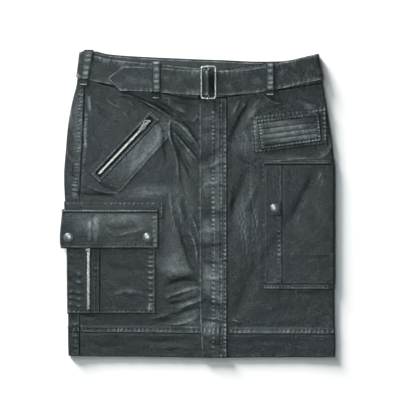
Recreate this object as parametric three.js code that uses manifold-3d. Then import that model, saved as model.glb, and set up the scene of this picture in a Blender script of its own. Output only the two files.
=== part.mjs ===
// A cargo utility skirt laid flat on its back: a flattened tube of coated cotton cloth with a belted
// waistband, a covered front placket, zipped and flapped pockets and a faced hem.
// Millimetres, +X to the right of the laid front, +Y from hem to waist, +Z up out of the front.
// The origin is on the surface that the skirt lies on, under the middle of the whole outline.

import * as THREE from "three";
import { mergeVertices } from "three/addons/utils/BufferGeometryUtils.js";
import Module from "manifold-3d";

const { clamp, degToRad, lerp, smoothstep } = THREE.MathUtils;
const wasm = await Module();
wasm.setup();

// Driving dimensions
const SEAM_GAP = 0.3;
const LAYER_GAP = 0.4;
const CLOTH = 1.2;
const WAISTBAND = { width: 45, inner: -1.4, outer: 0.8 };
const BELT = { width: 40, thickness: 2.0, pointLength: 20 };
const LOOP = { width: 12, thickness: 1.4 };
const HEM_BAND = { inner: -1.2, outer: 0.6, allowance: 10 };
const PLACKET = { left: 3, leftAtHem: 6, right: 47.3, ridge: 25.5, ridgeWidth: 4 };
const UNDERLAP_END = 45;
const SIDE_SEAM_WIDTH = 12.5;
const BACK_SEAM_INSET = 14;
const BUCKLE = { x: 16.7, y: 192.8, width: 23.6, height: 53.3, wire: 2.8, corner: 5, bar: 2.4, collar: 3.8 };
const SNAP = { radius: 7.3, height: 2.8 };

// The flattened tube: one row for each level, with the outer face's left and right edges and the
// heights of its upper and lower faces beside the side folds.
const SECTIONS = [
  { y: -246, left: -206.0, right: 219.0, high: 5.2, low: 0.6 },
  { y: -206, left: -206.8, right: 219.2, high: 5.4, low: 0.6 },
  { y: -192, left: -207.0, right: 218.8, high: 5.7, low: 0 },
  { y: -130, left: -207.6, right: 218.4, high: 6.0, low: 0 },
  { y: -70, left: -208.2, right: 218.4, high: 6.2, low: 0 },
  { y: 0, left: -212.0, right: 218.4, high: 6.2, low: 0 },
  { y: 45, left: -213.6, right: 218.4, high: 6.2, low: 0 },
  { y: 85, left: -210.8, right: 216.2, high: 6.3, low: 0 },
  { y: 125, left: -207.2, right: 210.8, high: 6.6, low: 0 },
  { y: 160, left: -201.0, right: 205.2, high: 7.4, low: 1.6 },
  { y: 189, left: -193.6, right: 199.9, high: 8.3, low: 3.2 },
  { y: 205, left: -190.6, right: 197.3, high: 8.3, low: 3.2 },
  { y: 246, left: -185.6, right: 188.8, high: 8.3, low: 3.2 },
];

// The waistband's top edge, across the front and across the back.
const WAIST_TOP = [
  { x: -186, front: 239.5, back: 239.5 },
  { x: -150, front: 235.0, back: 238.5 },
  { x: -118, front: 229.0, back: 236.0 },
  { x: -72, front: 225.0, back: 233.5 },
  { x: -36, front: 217.0, back: 232.0 },
  { x: 0, front: 211.5, back: 230.5 },
  { x: 31, front: 213.5, back: 229.5 },
  { x: 95, front: 222.5, back: 227.0 },
  { x: 140, front: 229.0, back: 228.5 },
  { x: 191, front: 238.0, back: 238.0 },
];

// The seam above the hem band and the bottom edge, across the front and back alike.
const HEM = [
  { x: -207, seam: -205.5, edge: -242.6 },
  { x: -60, seam: -206.5, edge: -244.2 },
  { x: 10, seam: -207.5, edge: -245.5 },
  { x: 120, seam: -208.0, edge: -244.8 },
  { x: 220, seam: -208.3, edge: -244.4 },
];

// The left side seam as it lies on the front, a little inside the fold.
const SIDE_SEAM = [
  { y: -246, x: -188.5 },
  { y: -10, x: -188.5 },
  { y: 70, x: -186.0 },
  { y: 150, x: -183.5 },
  { y: 246, x: -178.0 },
];

// The largest folds of the front: crest or trough lines with a sideways bow, a half width and a height.
const FOLDS = [
  { x0: -112, y0: 184, x1: -38, y1: 128, bow: 4, width: 6, height: 4.6 },
  { x0: -125, y0: 172, x1: -58, y1: 134, bow: 3, width: 6, height: -1.0 },
  { x0: -68, y0: 170, x1: 2, y1: 104, bow: 7, width: 7, height: -0.9 },
  { x0: -46, y0: 139, x1: 0, y1: 86, bow: 4, width: 5, height: 3.2 },
  { x0: -42, y0: 124, x1: 0, y1: 62, bow: 1, width: 5, height: 2.6 },
  { x0: -45, y0: 132, x1: 0, y1: -62, bow: 7, width: 8, height: 2.4 },
  { x0: -28, y0: 98, x1: -4, y1: -12, bow: 8, width: 6, height: -1.1 },
  { x0: -62, y0: -116, x1: 0, y1: -104, bow: 2, width: 10, height: 1.7 },
  { x0: -58, y0: -137, x1: 2, y1: -122, bow: 3, width: 7, height: -1.2 },
  { x0: -52, y0: -152, x1: 4, y1: -131, bow: 2, width: 7, height: 2.1 },
  { x0: -40, y0: -197, x1: 6, y1: -186, bow: 1, width: 5, height: 1.5 },
  { x0: 92, y0: 172, x1: 52, y1: 88, bow: 3, width: 8, height: -1.2 },
  { x0: 84, y0: 150, x1: 66, y1: 96, bow: 2, width: 5, height: 1.4 },
  { x0: 84, y0: 62, x1: 50, y1: -40, bow: 6, width: 9, height: -1.1 },
  { x0: 206, y0: 72, x1: 60, y1: -196, bow: 18, width: 15, height: -1.2 },
  { x0: 0, y0: 72, x1: 46, y1: 82, bow: 0, width: 7, height: -0.9 },
  { x0: 0, y0: -12, x1: 46, y1: -18, bow: 0, width: 7, height: -0.8 },
  { x0: 0, y0: -66, x1: 46, y1: -74, bow: 0, width: 7, height: -0.8 },
  { x0: 2, y0: -170, x1: 50, y1: -164, bow: 0, width: 8, height: -0.9 },
];
const SAG = { depth: 1.2, reach: 70 };
const FOLD_FADE = 14;

// Places where a sewn on piece keeps the cloth under it flat: a middle, half sizes and a turn in degrees.
const HELD_FLAT = [
  { x: -116.5, y: 90.4, halfX: 76, halfY: 15, turn: 46.5 },
  { x: -93, y: 67, halfX: 62, halfY: 18, turn: 46.5 },
  { x: -134, y: -86, halfX: 82, halfY: 92, turn: 0 },
  { x: 146, y: 116, halfX: 62, halfY: 42, turn: 7 },
  { x: 160, y: -32, halfX: 60, halfY: 105, turn: 0 },
  { x: 26, y: -20, halfX: 24, halfY: 260, turn: 0 },
];
const HELD_FADE = 9;

// The belt's middle line: across the front under its free end, along the free end, and across the back.
const BELT_FIXED_LINE = [
  { x: -192, y: 221.5 },
  { x: -140, y: 210.5 },
  { x: -76, y: 204.0 },
  { x: 20, y: 194.5 },
];
const BELT_FREE_LINE = [
  { x: -143, y: 200.8 },
  { x: -76, y: 199.4 },
  { x: -24, y: 194.6 },
  { x: 17, y: 192.6 },
  { x: 55, y: 193.2 },
  { x: 108, y: 199.4 },
  { x: 151, y: 208.2 },
  { x: 198, y: 218.2 },
];
const BELT_BACK_LINE = [
  { x: -192, y: 221.5 },
  { x: -60, y: 212.5 },
  { x: 60, y: 210.5 },
  { x: 198, y: 218.2 },
];

// The slanted hip zip: its line of teeth runs from low to high.
const HIP_ZIP = {
  x: -157.5,
  y: 47.8,
  angle: 46.5,
  length: 120,
  weltWidth: 21,
  weltEnd: 10,
  window: 10.4,
  windowEnd: 2.5,
  chain: 4.6,
  facing: { near: 10.9, far: 43, start: -12, startFar: -6, end: 126, endFar: 113 },
};
const SLIDER = { at: 101, length: 12, width: 8.6, tail: 6, plate: 1.1, flange: 0.9 };
const BRIDGE = { length: 7, width: 1.6, thickness: 1.0, post: 1.0 };
const PULL = { yaw: 10, root: 1.1, armInner: 1.8, armOuter: 2.9, window: 4.5, reach: 14.5, ring: 4.9, hole: 2.1 };

// Pockets, by their real outlines on the laid front.
const CARGO = {
  facing: { right: -55, top: 3.7, bottom: -23.7 },
  bag: { right: -67.3, top: -25.5, bottom: -175.5 },
  flap: { top: -8.3, bottom: -71.3, thickness: 1.8, lift: 0.7, piping: 1.0 },
  zip: { x: -175, bottom: -168.5, top: -60, width: 4.6, band: -156.4 },
  sideReach: 0.62,
};

// The flap's outer face across the hip: how far it drops below its own level towards the side, where
// it stands clear of the fold, and how far out its edge reaches at each level.
const FLAP_PROFILE = [
  { x: -62.7, drop: 0 },
  { x: -84, drop: 0 },
  { x: -113, drop: 0 },
  { x: -142, drop: 0 },
  { x: -156, drop: 0 },
  { x: -163, drop: 0 },
  { x: -169, drop: 0 },
  { x: -175, drop: 0 },
  { x: -181, drop: 0 },
  { x: -187, drop: 0 },
  { x: -196, drop: 0 },
  { x: -206, drop: 0.2 },
  { x: -213.5, drop: 0.6 },
  { x: -217.6, drop: 1.8 },
  { x: -219.8, drop: 4.1 },
  { x: -220.4, drop: 6.4 },
  { x: -219.8, drop: 8.3 },
];
const FLAP_EDGE = [
  { y: -72, reach: -218.4 },
  { y: -61, reach: -220.4 },
  { y: -52, reach: -220.4 },
  { y: -32, reach: -218.8 },
  { y: -13, reach: -217.0 },
  { y: -8, reach: -216.6 },
];
const PEN_POCKET = {
  patch: [[90, 80.5], [206.8, 95.7], [204.5, 153.5], [86, 140.5]],
  flap: [[100.4, 86.1], [197.7, 99.7], [193.2, 146.4], [94.3, 134.6]],
  flapTop: 5.6,
  ribs: 4,
  ribHeight: 0.9,
};
const BELLOWS_POCKET = {
  left: 104,
  fold: 134.7,
  top: 67,
  bottom: -131.5,
  binding: 8,
  tab: { left: 115.5, right: 133, top: 3, bottom: -19 },
  sideReach: 0.62,
};
const SNAPS = [
  { name: "snap_cargo_side", x: -206.5, y: -53.5, seat: "flap" },
  { name: "snap_cargo_front", x: -80, y: -53.3, seat: "flap" },
  { name: "snap_bellows", x: 123.2, y: -7, seat: "tab" },
];
const LOOPS = [
  { name: "belt_loop_side", top: [-174, 245.5], bottom: [-181, 187.5], layers: 1 },
  { name: "belt_loop_front_left", top: [-66, 227.2], bottom: [-66, 166.8], layers: 2 },
  { name: "belt_loop_front_right", top: [115.4, 226.2], bottom: [115.4, 172.0], layers: 1 },
];

const COLOURS = {
  cloth: new THREE.MeshStandardMaterial({ color: 0x3a4042, roughness: 0.5, metalness: 0 }),
  belt: new THREE.MeshStandardMaterial({ color: 0x3d4345, roughness: 0.55, metalness: 0 }),
  tape: new THREE.MeshStandardMaterial({ color: 0x202426, roughness: 0.85, metalness: 0 }),
  teeth: new THREE.MeshStandardMaterial({ color: 0xc9cbbf, roughness: 0.35, metalness: 1 }),
  nickel: new THREE.MeshStandardMaterial({ color: 0xb9bfc4, roughness: 0.25, metalness: 1 }),
  snap: new THREE.MeshStandardMaterial({ color: 0x6d7478, roughness: 0.35, metalness: 1 }),
};

const skirt = new THREE.Group();

// Value of one column of a table between its rows, without overshoot, so flat stretches stay flat.
function column(rows, along, name, at) {
  const last = rows.length - 1;
  let k = 0;
  while (k < last - 1 && at > rows[k + 1][along]) k += 1;
  const rise = (i) => (rows[i + 1][name] - rows[i][name]) / (rows[i + 1][along] - rows[i][along]);
  const slope = (i) => {
    if (i === 0) return rise(0);
    if (i === last) return rise(last - 1);
    const before = rise(i - 1);
    const after = rise(i);
    return before * after <= 0 ? 0 : (2 * before * after) / (before + after);
  };
  const width = rows[k + 1][along] - rows[k][along];
  const t = clamp((at - rows[k][along]) / width, 0, 1);
  const start = rows[k][name] * (1 + 2 * t) * (1 - t) ** 2 + slope(k) * width * t * (1 - t) ** 2;
  return start + rows[k + 1][name] * t * t * (3 - 2 * t) - slope(k + 1) * width * t * t * (1 - t);
}

function section(y) {
  const high = column(SECTIONS, "y", "high", y);
  const low = column(SECTIONS, "y", "low", y);
  const radius = (high - low) / 2;
  return {
    high,
    low,
    radius,
    middle: (high + low) / 2,
    runRight: column(SECTIONS, "y", "right", y) - radius,
    runLeft: -column(SECTIONS, "y", "left", y) - radius,
  };
}

function foldHeight(fold, x, y) {
  const along = new THREE.Vector2(fold.x1 - fold.x0, fold.y1 - fold.y0);
  const length = along.length();
  along.divideScalar(length);
  const t = ((x - fold.x0) * along.x + (y - fold.y0) * along.y) / length;
  if (t <= 0 || t >= 1) return 0;
  const arch = 4 * t * (1 - t);
  const off = (x - fold.x0) * along.y - (y - fold.y0) * along.x - fold.bow * arch;
  return fold.height * Math.exp(-((off / fold.width) ** 2)) * Math.sqrt(arch) * smoothstep(arch, 0, 0.6);
}

// How freely the cloth folds at a place: 0 under a piece that holds it flat, 1 away from all of them.
function freedom(x, y) {
  return HELD_FLAT.reduce((least, held) => {
    const [sin, cos] = [Math.sin(degToRad(held.turn)), Math.cos(degToRad(held.turn))];
    const [dx, dy] = [x - held.x, y - held.y];
    const beyondX = Math.abs(dx * cos + dy * sin) - held.halfX;
    const beyondY = Math.abs(dy * cos - dx * sin) - held.halfY;
    const outside = Math.hypot(Math.max(beyondX, 0), Math.max(beyondY, 0));
    return Math.min(least, smoothstep(outside, 0, HELD_FADE));
  }, 1);
}

// How far the front's outer face stands above or below its level beside the folds.
function relief(x, y, edgeDistance) {
  const folds = FOLDS.reduce((sum, fold) => sum + foldHeight(fold, x, y), 0) * freedom(x, y);
  const clear = smoothstep(waistSeam(x) - y, 0, FOLD_FADE) * smoothstep(y - hemSeam(x), 0, FOLD_FADE);
  const sag = SAG.depth * smoothstep(edgeDistance, 0, SAG.reach);
  return folds * clear * smoothstep(edgeDistance, 0, FOLD_FADE) - sag;
}

const waistSeam = (x) => column(WAIST_TOP, "x", "front", x) - WAISTBAND.width;
const hemSeam = (x) => column(HEM, "x", "seam", x);

// A point of the tube's outer face. Going round, 0 is the front's middle, 0 to 1 its right half,
// 1 to 2 the right fold, 2 to 4 the back from right to left, 4 to 5 the left fold and 5 to 6 the rest.
function outerFace(round, y) {
  const s = section(y);
  const turn = ((round % 6) + 6) % 6;
  if (turn > 1 && turn < 2) {
    const angle = (turn - 1) * Math.PI;
    return new THREE.Vector3(s.runRight + s.radius * Math.sin(angle), y, s.middle + s.radius * Math.cos(angle));
  }
  if (turn >= 2 && turn <= 4) {
    return new THREE.Vector3(lerp(s.runRight, -s.runLeft, (turn - 2) / 2), y, s.low);
  }
  if (turn > 4 && turn < 5) {
    const angle = (5 - turn) * Math.PI;
    return new THREE.Vector3(-s.runLeft - s.radius * Math.sin(angle), y, s.middle + s.radius * Math.cos(angle));
  }
  const x = turn <= 1 ? turn * s.runRight : (turn - 6) * s.runLeft;
  const edgeDistance = x > 0 ? s.runRight - x : s.runLeft + x;
  return new THREE.Vector3(x, y, s.high + relief(x, y, edgeDistance));
}

// A point moved out from the tube's outer face by a distance, or into the tube where it is negative.
function moved(round, y, out) {
  const step = 0.002;
  const across = outerFace(round + step, y).sub(outerFace(round - step, y));
  const along = outerFace(round, y + 0.5).sub(outerFace(round, y - 0.5));
  return outerFace(round, y).addScaledVector(across.cross(along).normalize(), out);
}

// The way round for a distance across the cloth from the front's middle, over the fold if it is that far.
function roundAt(x, y) {
  const s = section(y);
  const run = x > 0 ? s.runRight : s.runLeft;
  const over = (Math.abs(x) - run) / (Math.PI * s.radius);
  const turn = over > 0 ? 1 + over : Math.abs(x) / run;
  return x > 0 ? turn : 6 - turn;
}

// Where a place on the ring lies across the waist, for the tables that give its edges.
function acrossWaist(round) {
  const s = section(205);
  const turn = ((round % 6) + 6) % 6;
  if (turn <= 1) return { x: turn * s.runRight, side: "front" };
  if (turn < 2) return { x: s.runRight, side: "front" };
  if (turn <= 4) return { x: lerp(s.runRight, -s.runLeft, (turn - 2) / 2), side: "back" };
  if (turn < 5) return { x: -s.runLeft, side: "front" };
  return { x: (turn - 6) * s.runLeft, side: "front" };
}

function waistTopAt(round) {
  const { x, side } = acrossWaist(round);
  return column(WAIST_TOP, "x", side, x);
}

function hemAt(round, name) {
  return column(HEM, "x", name, acrossWaist(round).x * 1.09);
}

// Evenly spaced values between neighbours of a list, with a number of steps for each stretch.
function divide(values, steps) {
  const made = [values[0]];
  steps.forEach((count, k) => {
    for (let i = 1; i <= count; i += 1) made.push(lerp(values[k], values[k + 1], i / count));
  });
  return made;
}

function addMesh(name, geometry, material, parent = skirt) {
  const mesh = new THREE.Mesh(geometry, material);
  mesh.name = name;
  parent.add(mesh);
  return mesh;
}

function signedVolume(points, triangles) {
  let volume = 0;
  for (let k = 0; k < triangles.length; k += 3) {
    const [a, b, c] = [points[triangles[k]], points[triangles[k + 1]], points[triangles[k + 2]]];
    volume += a.dot(b.clone().cross(c)) / 6;
  }
  return volume;
}

// A closed wall between two nets of points, inner and outer, each given by column and row. A looped
// wall joins its last column to its first.
function wall(columns, rows, inner, outer, looped = false) {
  const points = [];
  const triangles = [];
  for (const side of [inner, outer]) {
    for (let i = 0; i < columns; i += 1) {
      for (let j = 0; j < rows; j += 1) points.push(side(i, j));
    }
  }
  const layer = columns * rows;
  const at = (side, i, j) => side * layer + (i % columns) * rows + j;
  const quad = (a, b, c, d) => triangles.push(a, b, c, a, c, d);
  const spans = looped ? columns : columns - 1;
  for (let i = 0; i < spans; i += 1) {
    for (let j = 0; j < rows - 1; j += 1) {
      quad(at(1, i, j), at(1, i + 1, j), at(1, i + 1, j + 1), at(1, i, j + 1));
      quad(at(0, i, j), at(0, i, j + 1), at(0, i + 1, j + 1), at(0, i + 1, j));
    }
    quad(at(0, i, 0), at(0, i + 1, 0), at(1, i + 1, 0), at(1, i, 0));
    quad(at(1, i, rows - 1), at(1, i + 1, rows - 1), at(0, i + 1, rows - 1), at(0, i, rows - 1));
  }
  for (let j = 0; j < rows - 1 && !looped; j += 1) {
    quad(at(0, 0, j), at(1, 0, j), at(1, 0, j + 1), at(0, 0, j + 1));
    const end = columns - 1;
    quad(at(1, end, j), at(0, end, j), at(0, end, j + 1), at(1, end, j + 1));
  }
  if (signedVolume(points, triangles) < 0) triangles.reverse();
  const geometry = new THREE.BufferGeometry().setFromPoints(points);
  geometry.setIndex(triangles);
  geometry.computeVertexNormals();
  return geometry;
}

// A cloth piece on the tube. place gives the way round and the level of a net point, and inner and
// outer are its offsets, as numbers or as functions of that place.
function cloth(name, columns, rows, place, inner, outer, material = COLOURS.cloth, looped = false) {
  const offset = (value, spot, i, j) => (typeof value === "function" ? value(spot, i, j) : value);
  const side = (value) => (i, j) => {
    const spot = place(i, j);
    return moved(spot.round, spot.y, offset(value, spot, i, j));
  };
  return addMesh(name, wall(columns, rows, side(inner), side(outer), looped), material);
}

// A cloth piece whose net is given straight on the laid front, by columns and rows of x and y.
function frontCloth(name, columns, rows, at, inner, outer, material, looped) {
  const place = (i, j) => {
    const { x, y } = at(i, j);
    return { round: roundAt(x, y), x, y };
  };
  return cloth(name, columns, rows, place, inner, outer, material, looped);
}

// Columns from a line on the front out to the fold on one side, and over the fold by a share of it.
function overFold(start, side, flatSteps, foldSteps, reach) {
  const flat = divide([0, 1], [flatSteps]).map((share) => (y) => {
    const first = Math.abs(roundAt(start(y), y) - (side > 0 ? 0 : 6));
    const turn = lerp(first, 1, share);
    return side > 0 ? turn : 6 - turn;
  });
  const folded = divide([0, reach], [foldSteps]).slice(1).map((share) => () => (side > 0 ? 1 + share : 5 - share));
  return [...flat, ...folded];
}

// Places between two levels, for columns that may lean with the level.
function between(columns, shares, low, high) {
  return (i, j) => {
    const guess = columns[i](lerp(low(columns[i](0)), high(columns[i](0)), shares[j]));
    const y = lerp(low(guess), high(guess), shares[j]);
    return { round: columns[i](y), y };
  };
}

const sideSeamX = (y) => column(SIDE_SEAM, "y", "x", y);
const raisedHem = (spot) => (spot.y < hemAt(spot.round, "seam") + HEM_BAND.allowance ? 0.6 : 0);
const panelLow = (round) => hemAt(round, "seam") + SEAM_GAP / 2;
const panelHigh = (round) => waistTopAt(round) - WAISTBAND.width - SEAM_GAP / 2;
const bandLow = (round) => hemAt(round, "edge");
const bandHigh = (round) => hemAt(round, "seam") - SEAM_GAP / 2;
const hemStep = [0, HEM_BAND.allowance / 375, (HEM_BAND.allowance + 2) / 375];

// The body panels
function leftFront() {
  const shares = divide([0, 0.47, 1], [7, 19]);
  const columns = shares.map((share) => (y) => {
    const x = lerp(sideSeamX(y) + SEAM_GAP / 2, UNDERLAP_END, share);
    return roundAt(x, y);
  });
  const rows = [...hemStep, ...divide([0.06, 0.36, 0.72, 1], [8, 9, 14])];
  const place = between(columns, rows, panelLow, panelHigh);
  cloth("front_left_panel", columns.length, rows.length, place, -CLOTH, raisedHem);
}

function rightFront() {
  const start = () => PLACKET.right + SEAM_GAP;
  const back = (y) => 2 + (2 * BACK_SEAM_INSET) / (section(y).runRight + section(y).runLeft);
  const columns = [...overFold(start, 1, 15, 6, 1), back];
  const rows = [...hemStep, ...divide([0.06, 1], [23])];
  const place = between(columns, rows, panelLow, panelHigh);
  cloth("front_right_panel", columns.length, rows.length, place, -CLOTH, raisedHem);
}

function backColumns(underSteps) {
  const start = (y) => 2 + (2 * (BACK_SEAM_INSET + SEAM_GAP)) / (section(y).runRight + section(y).runLeft);
  const under = divide([0, 1], [underSteps]).map((share) => (y) => lerp(start(y), 4, share));
  const fold = divide([4, 5], [6]).slice(1).map((turn) => () => turn);
  const seam = (inset) => (y) => roundAt(sideSeamX(y) - SEAM_GAP / 2 - inset, y);
  return [...under, ...fold, seam(SIDE_SEAM_WIDTH + 0.8), seam(SIDE_SEAM_WIDTH), seam(SIDE_SEAM_WIDTH / 2), seam(0)];
}

// The felled side seam is raised in the back panel's outer face, where it comes round to the front
// and no pocket lies over it.
const underPocket = (y) => y < CARGO.facing.top + 12 && y > CARGO.bag.bottom - 14;
const felled = (base, count) => (spot, i) => base + (i >= count - 3 && !underPocket(spot.y) ? 0.9 : 0);

function back() {
  const columns = backColumns(10);
  const rows = [...hemStep, ...divide([0.06, 0.75, 1], [11, 6])];
  const place = between(columns, rows, panelLow, panelHigh);
  const outer = (spot, i) => Math.max(felled(0, columns.length)(spot, i), raisedHem(spot));
  const flatUnder = (spot, i) => (spot.round < 4 && spot.round > 2 ? 0 : outer(spot, i));
  cloth("back_panel", columns.length, rows.length, place, -CLOTH, flatUnder);
}

function hemBands() {
  const rows = [0, 0.5, 1];
  const leftShares = divide([0, 0.47, 1], [5, 10]);
  const left = leftShares.map((share) => (y) => roundAt(lerp(sideSeamX(y) + SEAM_GAP / 2, UNDERLAP_END, share), y));
  const right = [
    ...overFold(() => PLACKET.right + SEAM_GAP, 1, 9, 6, 1),
    (y) => 2 + (2 * BACK_SEAM_INSET) / (section(y).runRight + section(y).runLeft),
  ];
  const backs = backColumns(10);
  const { inner, outer } = HEM_BAND;
  cloth("hem_band_left", left.length, 3, between(left, rows, bandLow, bandHigh), inner, outer);
  cloth("hem_band_right", right.length, 3, between(right, rows, bandLow, bandHigh), inner, outer);
  const folded = felled(outer, backs.length);
  cloth("hem_band_back", backs.length, 3, between(backs, rows, bandLow, bandHigh), inner, folded);
}

function waistbands() {
  const rows = [0, 0.5, 1];
  const low = (round) => waistTopAt(round) - WAISTBAND.width + SEAM_GAP / 2;
  const leftEnd = PLACKET.left - SEAM_GAP;
  const leftShares = divide([0, 1], [16]);
  const left = leftShares.map((share) => (y) => roundAt(lerp(sideSeamX(y) + SEAM_GAP / 2, leftEnd, share), y));
  const right = [
    ...overFold(() => PLACKET.left, 1, 14, 6, 1),
    (y) => 2 + (2 * BACK_SEAM_INSET) / (section(y).runRight + section(y).runLeft),
  ];
  const backs = backColumns(10).filter((_, i, all) => i !== all.length - 3 && i !== all.length - 2);
  const { inner, outer } = WAISTBAND;
  cloth("waistband_left", left.length, 3, between(left, rows, low, waistTopAt), inner, outer);
  cloth("waistband_right", right.length, 3, between(right, rows, low, waistTopAt), inner, outer);
  cloth("waistband_back", backs.length, 3, between(backs, rows, low, waistTopAt), inner, outer);
}

function placket() {
  const { left, leftAtHem, right, ridge, ridgeWidth } = PLACKET;
  const shares = divide([0, 1], [25]);
  const leftAt = (y) => lerp(leftAtHem, left, smoothstep(y, -245, -150));
  const stations = [
    { x: leftAt, lift: 0 },
    { x: () => 14, lift: 0 },
    { x: () => ridge - ridgeWidth / 2 - 1, lift: 0 },
    { x: () => ridge - ridgeWidth / 2 + 0.5, lift: 0.7 },
    { x: () => ridge + ridgeWidth / 2 - 0.5, lift: 0.7 },
    { x: () => ridge + ridgeWidth / 2 + 1, lift: 0.1 },
    { x: () => 33, lift: 0.4 },
    { x: () => right - 1, lift: 0.4 },
    { x: () => right, lift: 0.2 },
  ];
  const at = (i, j) => {
    const guess = stations[i].x(0);
    const y = lerp(column(HEM, "x", "edge", guess) + 0.2, waistSeam(guess) - SEAM_GAP, shares[j]);
    return { x: stations[i].x(y), y };
  };
  const base = HEM_BAND.outer + LAYER_GAP;
  const inner = (spot) => (spot.y < hemSeam(20) + HEM_BAND.allowance + 4 ? base : LAYER_GAP);
  const outer = (spot, i) => inner(spot) + CLOTH + stations[i].lift;
  frontCloth("placket_band", stations.length, shares.length, at, inner, outer);
}

// The belt goes once round from under the buckle, then over the buckle's bar to its free end.
function belt() {
  const first = WAISTBAND.outer + LAYER_GAP;
  const second = first + BELT.thickness + LAYER_GAP;
  const overBar = 6.8;
  const wide = BELT.width / 2;
  const run = section(205);
  const line = (rows, x) => column(rows, "x", "y", x);
  const stations = [];
  const add = (round, y, half, out) => stations.push({ round, y, half, out });
  for (const x of divide([20.5, -run.runLeft], [14])) {
    add(x > 0 ? x / run.runRight : x / run.runLeft, line(BELT_FIXED_LINE, x), wide, first);
  }
  for (const turn of divide([-1, -2], [6]).slice(1)) add(turn, BELT_BACK_LINE[0].y, wide, first);
  for (const share of divide([0, 1], [14]).slice(1)) {
    add(-2 - 2 * share, line(BELT_BACK_LINE, lerp(-run.runLeft, run.runRight, share)), wide, first);
  }
  for (const turn of divide([-4, -5], [6]).slice(1)) add(turn, 218.2, wide, first);
  const humped = (x) => {
    const near = (x - BUCKLE.x) / 12;
    const base = lerp(second, first, smoothstep(near, -0.2, 1));
    return base + (overBar - lerp(second, first, 0.3)) * Math.exp(-((near / 0.5) ** 2));
  };
  const front = divide([run.runRight, 34, 2, -123, -142], [11, 14, 9, 4]).slice(1);
  for (const x of front) {
    const half = Math.min(wide, 1.2 + ((x + 142) / BELT.pointLength) * wide);
    const round = x > 0 ? -6 + x / run.runRight : -6 + x / run.runLeft;
    add(round, line(BELT_FREE_LINE, x), half, humped(x));
  }
  const edges = [-1, 1];
  const point = (out) => (i, j) => {
    const s = stations[i];
    return moved(s.round, s.y + edges[j] * s.half, s.out + out);
  };
  addMesh("belt", wall(stations.length, 2, point(0), point(BELT.thickness)), COLOURS.belt);
}

// A narrow ribbon of cloth across the front: its path gives a level and an outward distance, and it
// keeps its thickness where it climbs.
function ribbon(name, edgesAt, path, thickness) {
  const normal = (j) => {
    const a = path[Math.max(j - 1, 0)];
    const b = path[Math.min(j + 1, path.length - 1)];
    const length = Math.hypot(b.y - a.y, b.out - a.out);
    return { y: -(b.out - a.out) / length, out: (b.y - a.y) / length };
  };
  const side = (sign) => (i, j) => {
    const n = normal(j);
    const y = path[j].y + (sign * n.y * thickness) / 2;
    return moved(roundAt(edgesAt(i, y), y), y, path[j].out + (sign * n.out * thickness) / 2);
  };
  addMesh(name, wall(2, path.length, side(-1), side(1)), COLOURS.cloth);
}

function beltLoops() {
  const half = LOOP.thickness / 2;
  for (const loop of LOOPS) {
    const [topX, topY] = loop.top;
    const [bottomX, bottomY] = loop.bottom;
    const centre = (y) => lerp(bottomX, topX, (y - bottomY) / (topY - bottomY));
    const middle = (topX + bottomX) / 2;
    const free = column(BELT_FREE_LINE, "x", "y", middle);
    const fixed = column(BELT_FIXED_LINE, "x", "y", middle);
    const onlyFixed = loop.layers === 1 && middle < 0;
    const beltTop = (onlyFixed ? fixed : loop.layers === 2 ? Math.max(fixed, free) : free) + BELT.width / 2;
    const beltBottom = (onlyFixed ? fixed : loop.layers === 2 ? Math.min(fixed, free) : free) - BELT.width / 2;
    const seat = WAISTBAND.outer + 0.3 + half;
    const over = seat + loop.layers * (BELT.thickness + LAYER_GAP) + 0.3;
    const path = [
      { y: bottomY + 5.5, out: seat },
      { y: bottomY + 1.6, out: seat },
      { y: bottomY + half, out: seat + 0.9 },
      { y: bottomY + 1.2, out: seat + 2.4 },
      { y: Math.min(bottomY + 4, beltBottom - 2.2), out: lerp(seat, over, 0.75) + 0.6 },
      { y: beltBottom + 0.5, out: over + 0.3 },
      { y: beltTop - 0.5, out: over + 0.3 },
      { y: Math.min(topY - 1.4, beltTop + 1.8), out: lerp(seat, over, 0.75) },
      { y: topY, out: seat + 0.2 },
    ];
    ribbon(loop.name, (i, y) => centre(y) + (i - 0.5) * LOOP.width, path, LOOP.thickness);
  }
}

// Turns a closed three.js geometry into a manifold-3d solid, and back.
function toSolid(geometry) {
  const bare = geometry.clone();
  bare.deleteAttribute("normal");
  bare.deleteAttribute("uv");
  const merged = mergeVertices(bare, 1e-4);
  const vertProperties = merged.attributes.position.array;
  return new wasm.Manifold(new wasm.Mesh({ numProp: 3, vertProperties, triVerts: new Uint32Array(merged.index.array) }));
}

function fromSolid(solid) {
  const mesh = solid.getMesh();
  const geometry = new THREE.BufferGeometry();
  geometry.setAttribute("position", new THREE.BufferAttribute(mesh.vertProperties, 3));
  geometry.setIndex(new THREE.BufferAttribute(mesh.triVerts, 1));
  geometry.computeVertexNormals();
  return geometry;
}

const joined = (geometries) => fromSolid(geometries.map(toSolid).reduce((all, next) => all.add(next)));

function roundedRectangle(width, height, corner, target = new THREE.Shape()) {
  const [w, h] = [width / 2, height / 2];
  target.moveTo(-w + corner, -h);
  target.lineTo(w - corner, -h);
  target.absarc(w - corner, -h + corner, corner, -Math.PI / 2, 0, false);
  target.lineTo(w, h - corner);
  target.absarc(w - corner, h - corner, corner, 0, Math.PI / 2, false);
  target.lineTo(-w + corner, h);
  target.absarc(-w + corner, h - corner, corner, Math.PI / 2, Math.PI, false);
  target.lineTo(-w, -h + corner);
  target.absarc(-w + corner, -h + corner, corner, Math.PI, Math.PI * 1.5, false);
  return target;
}

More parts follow.
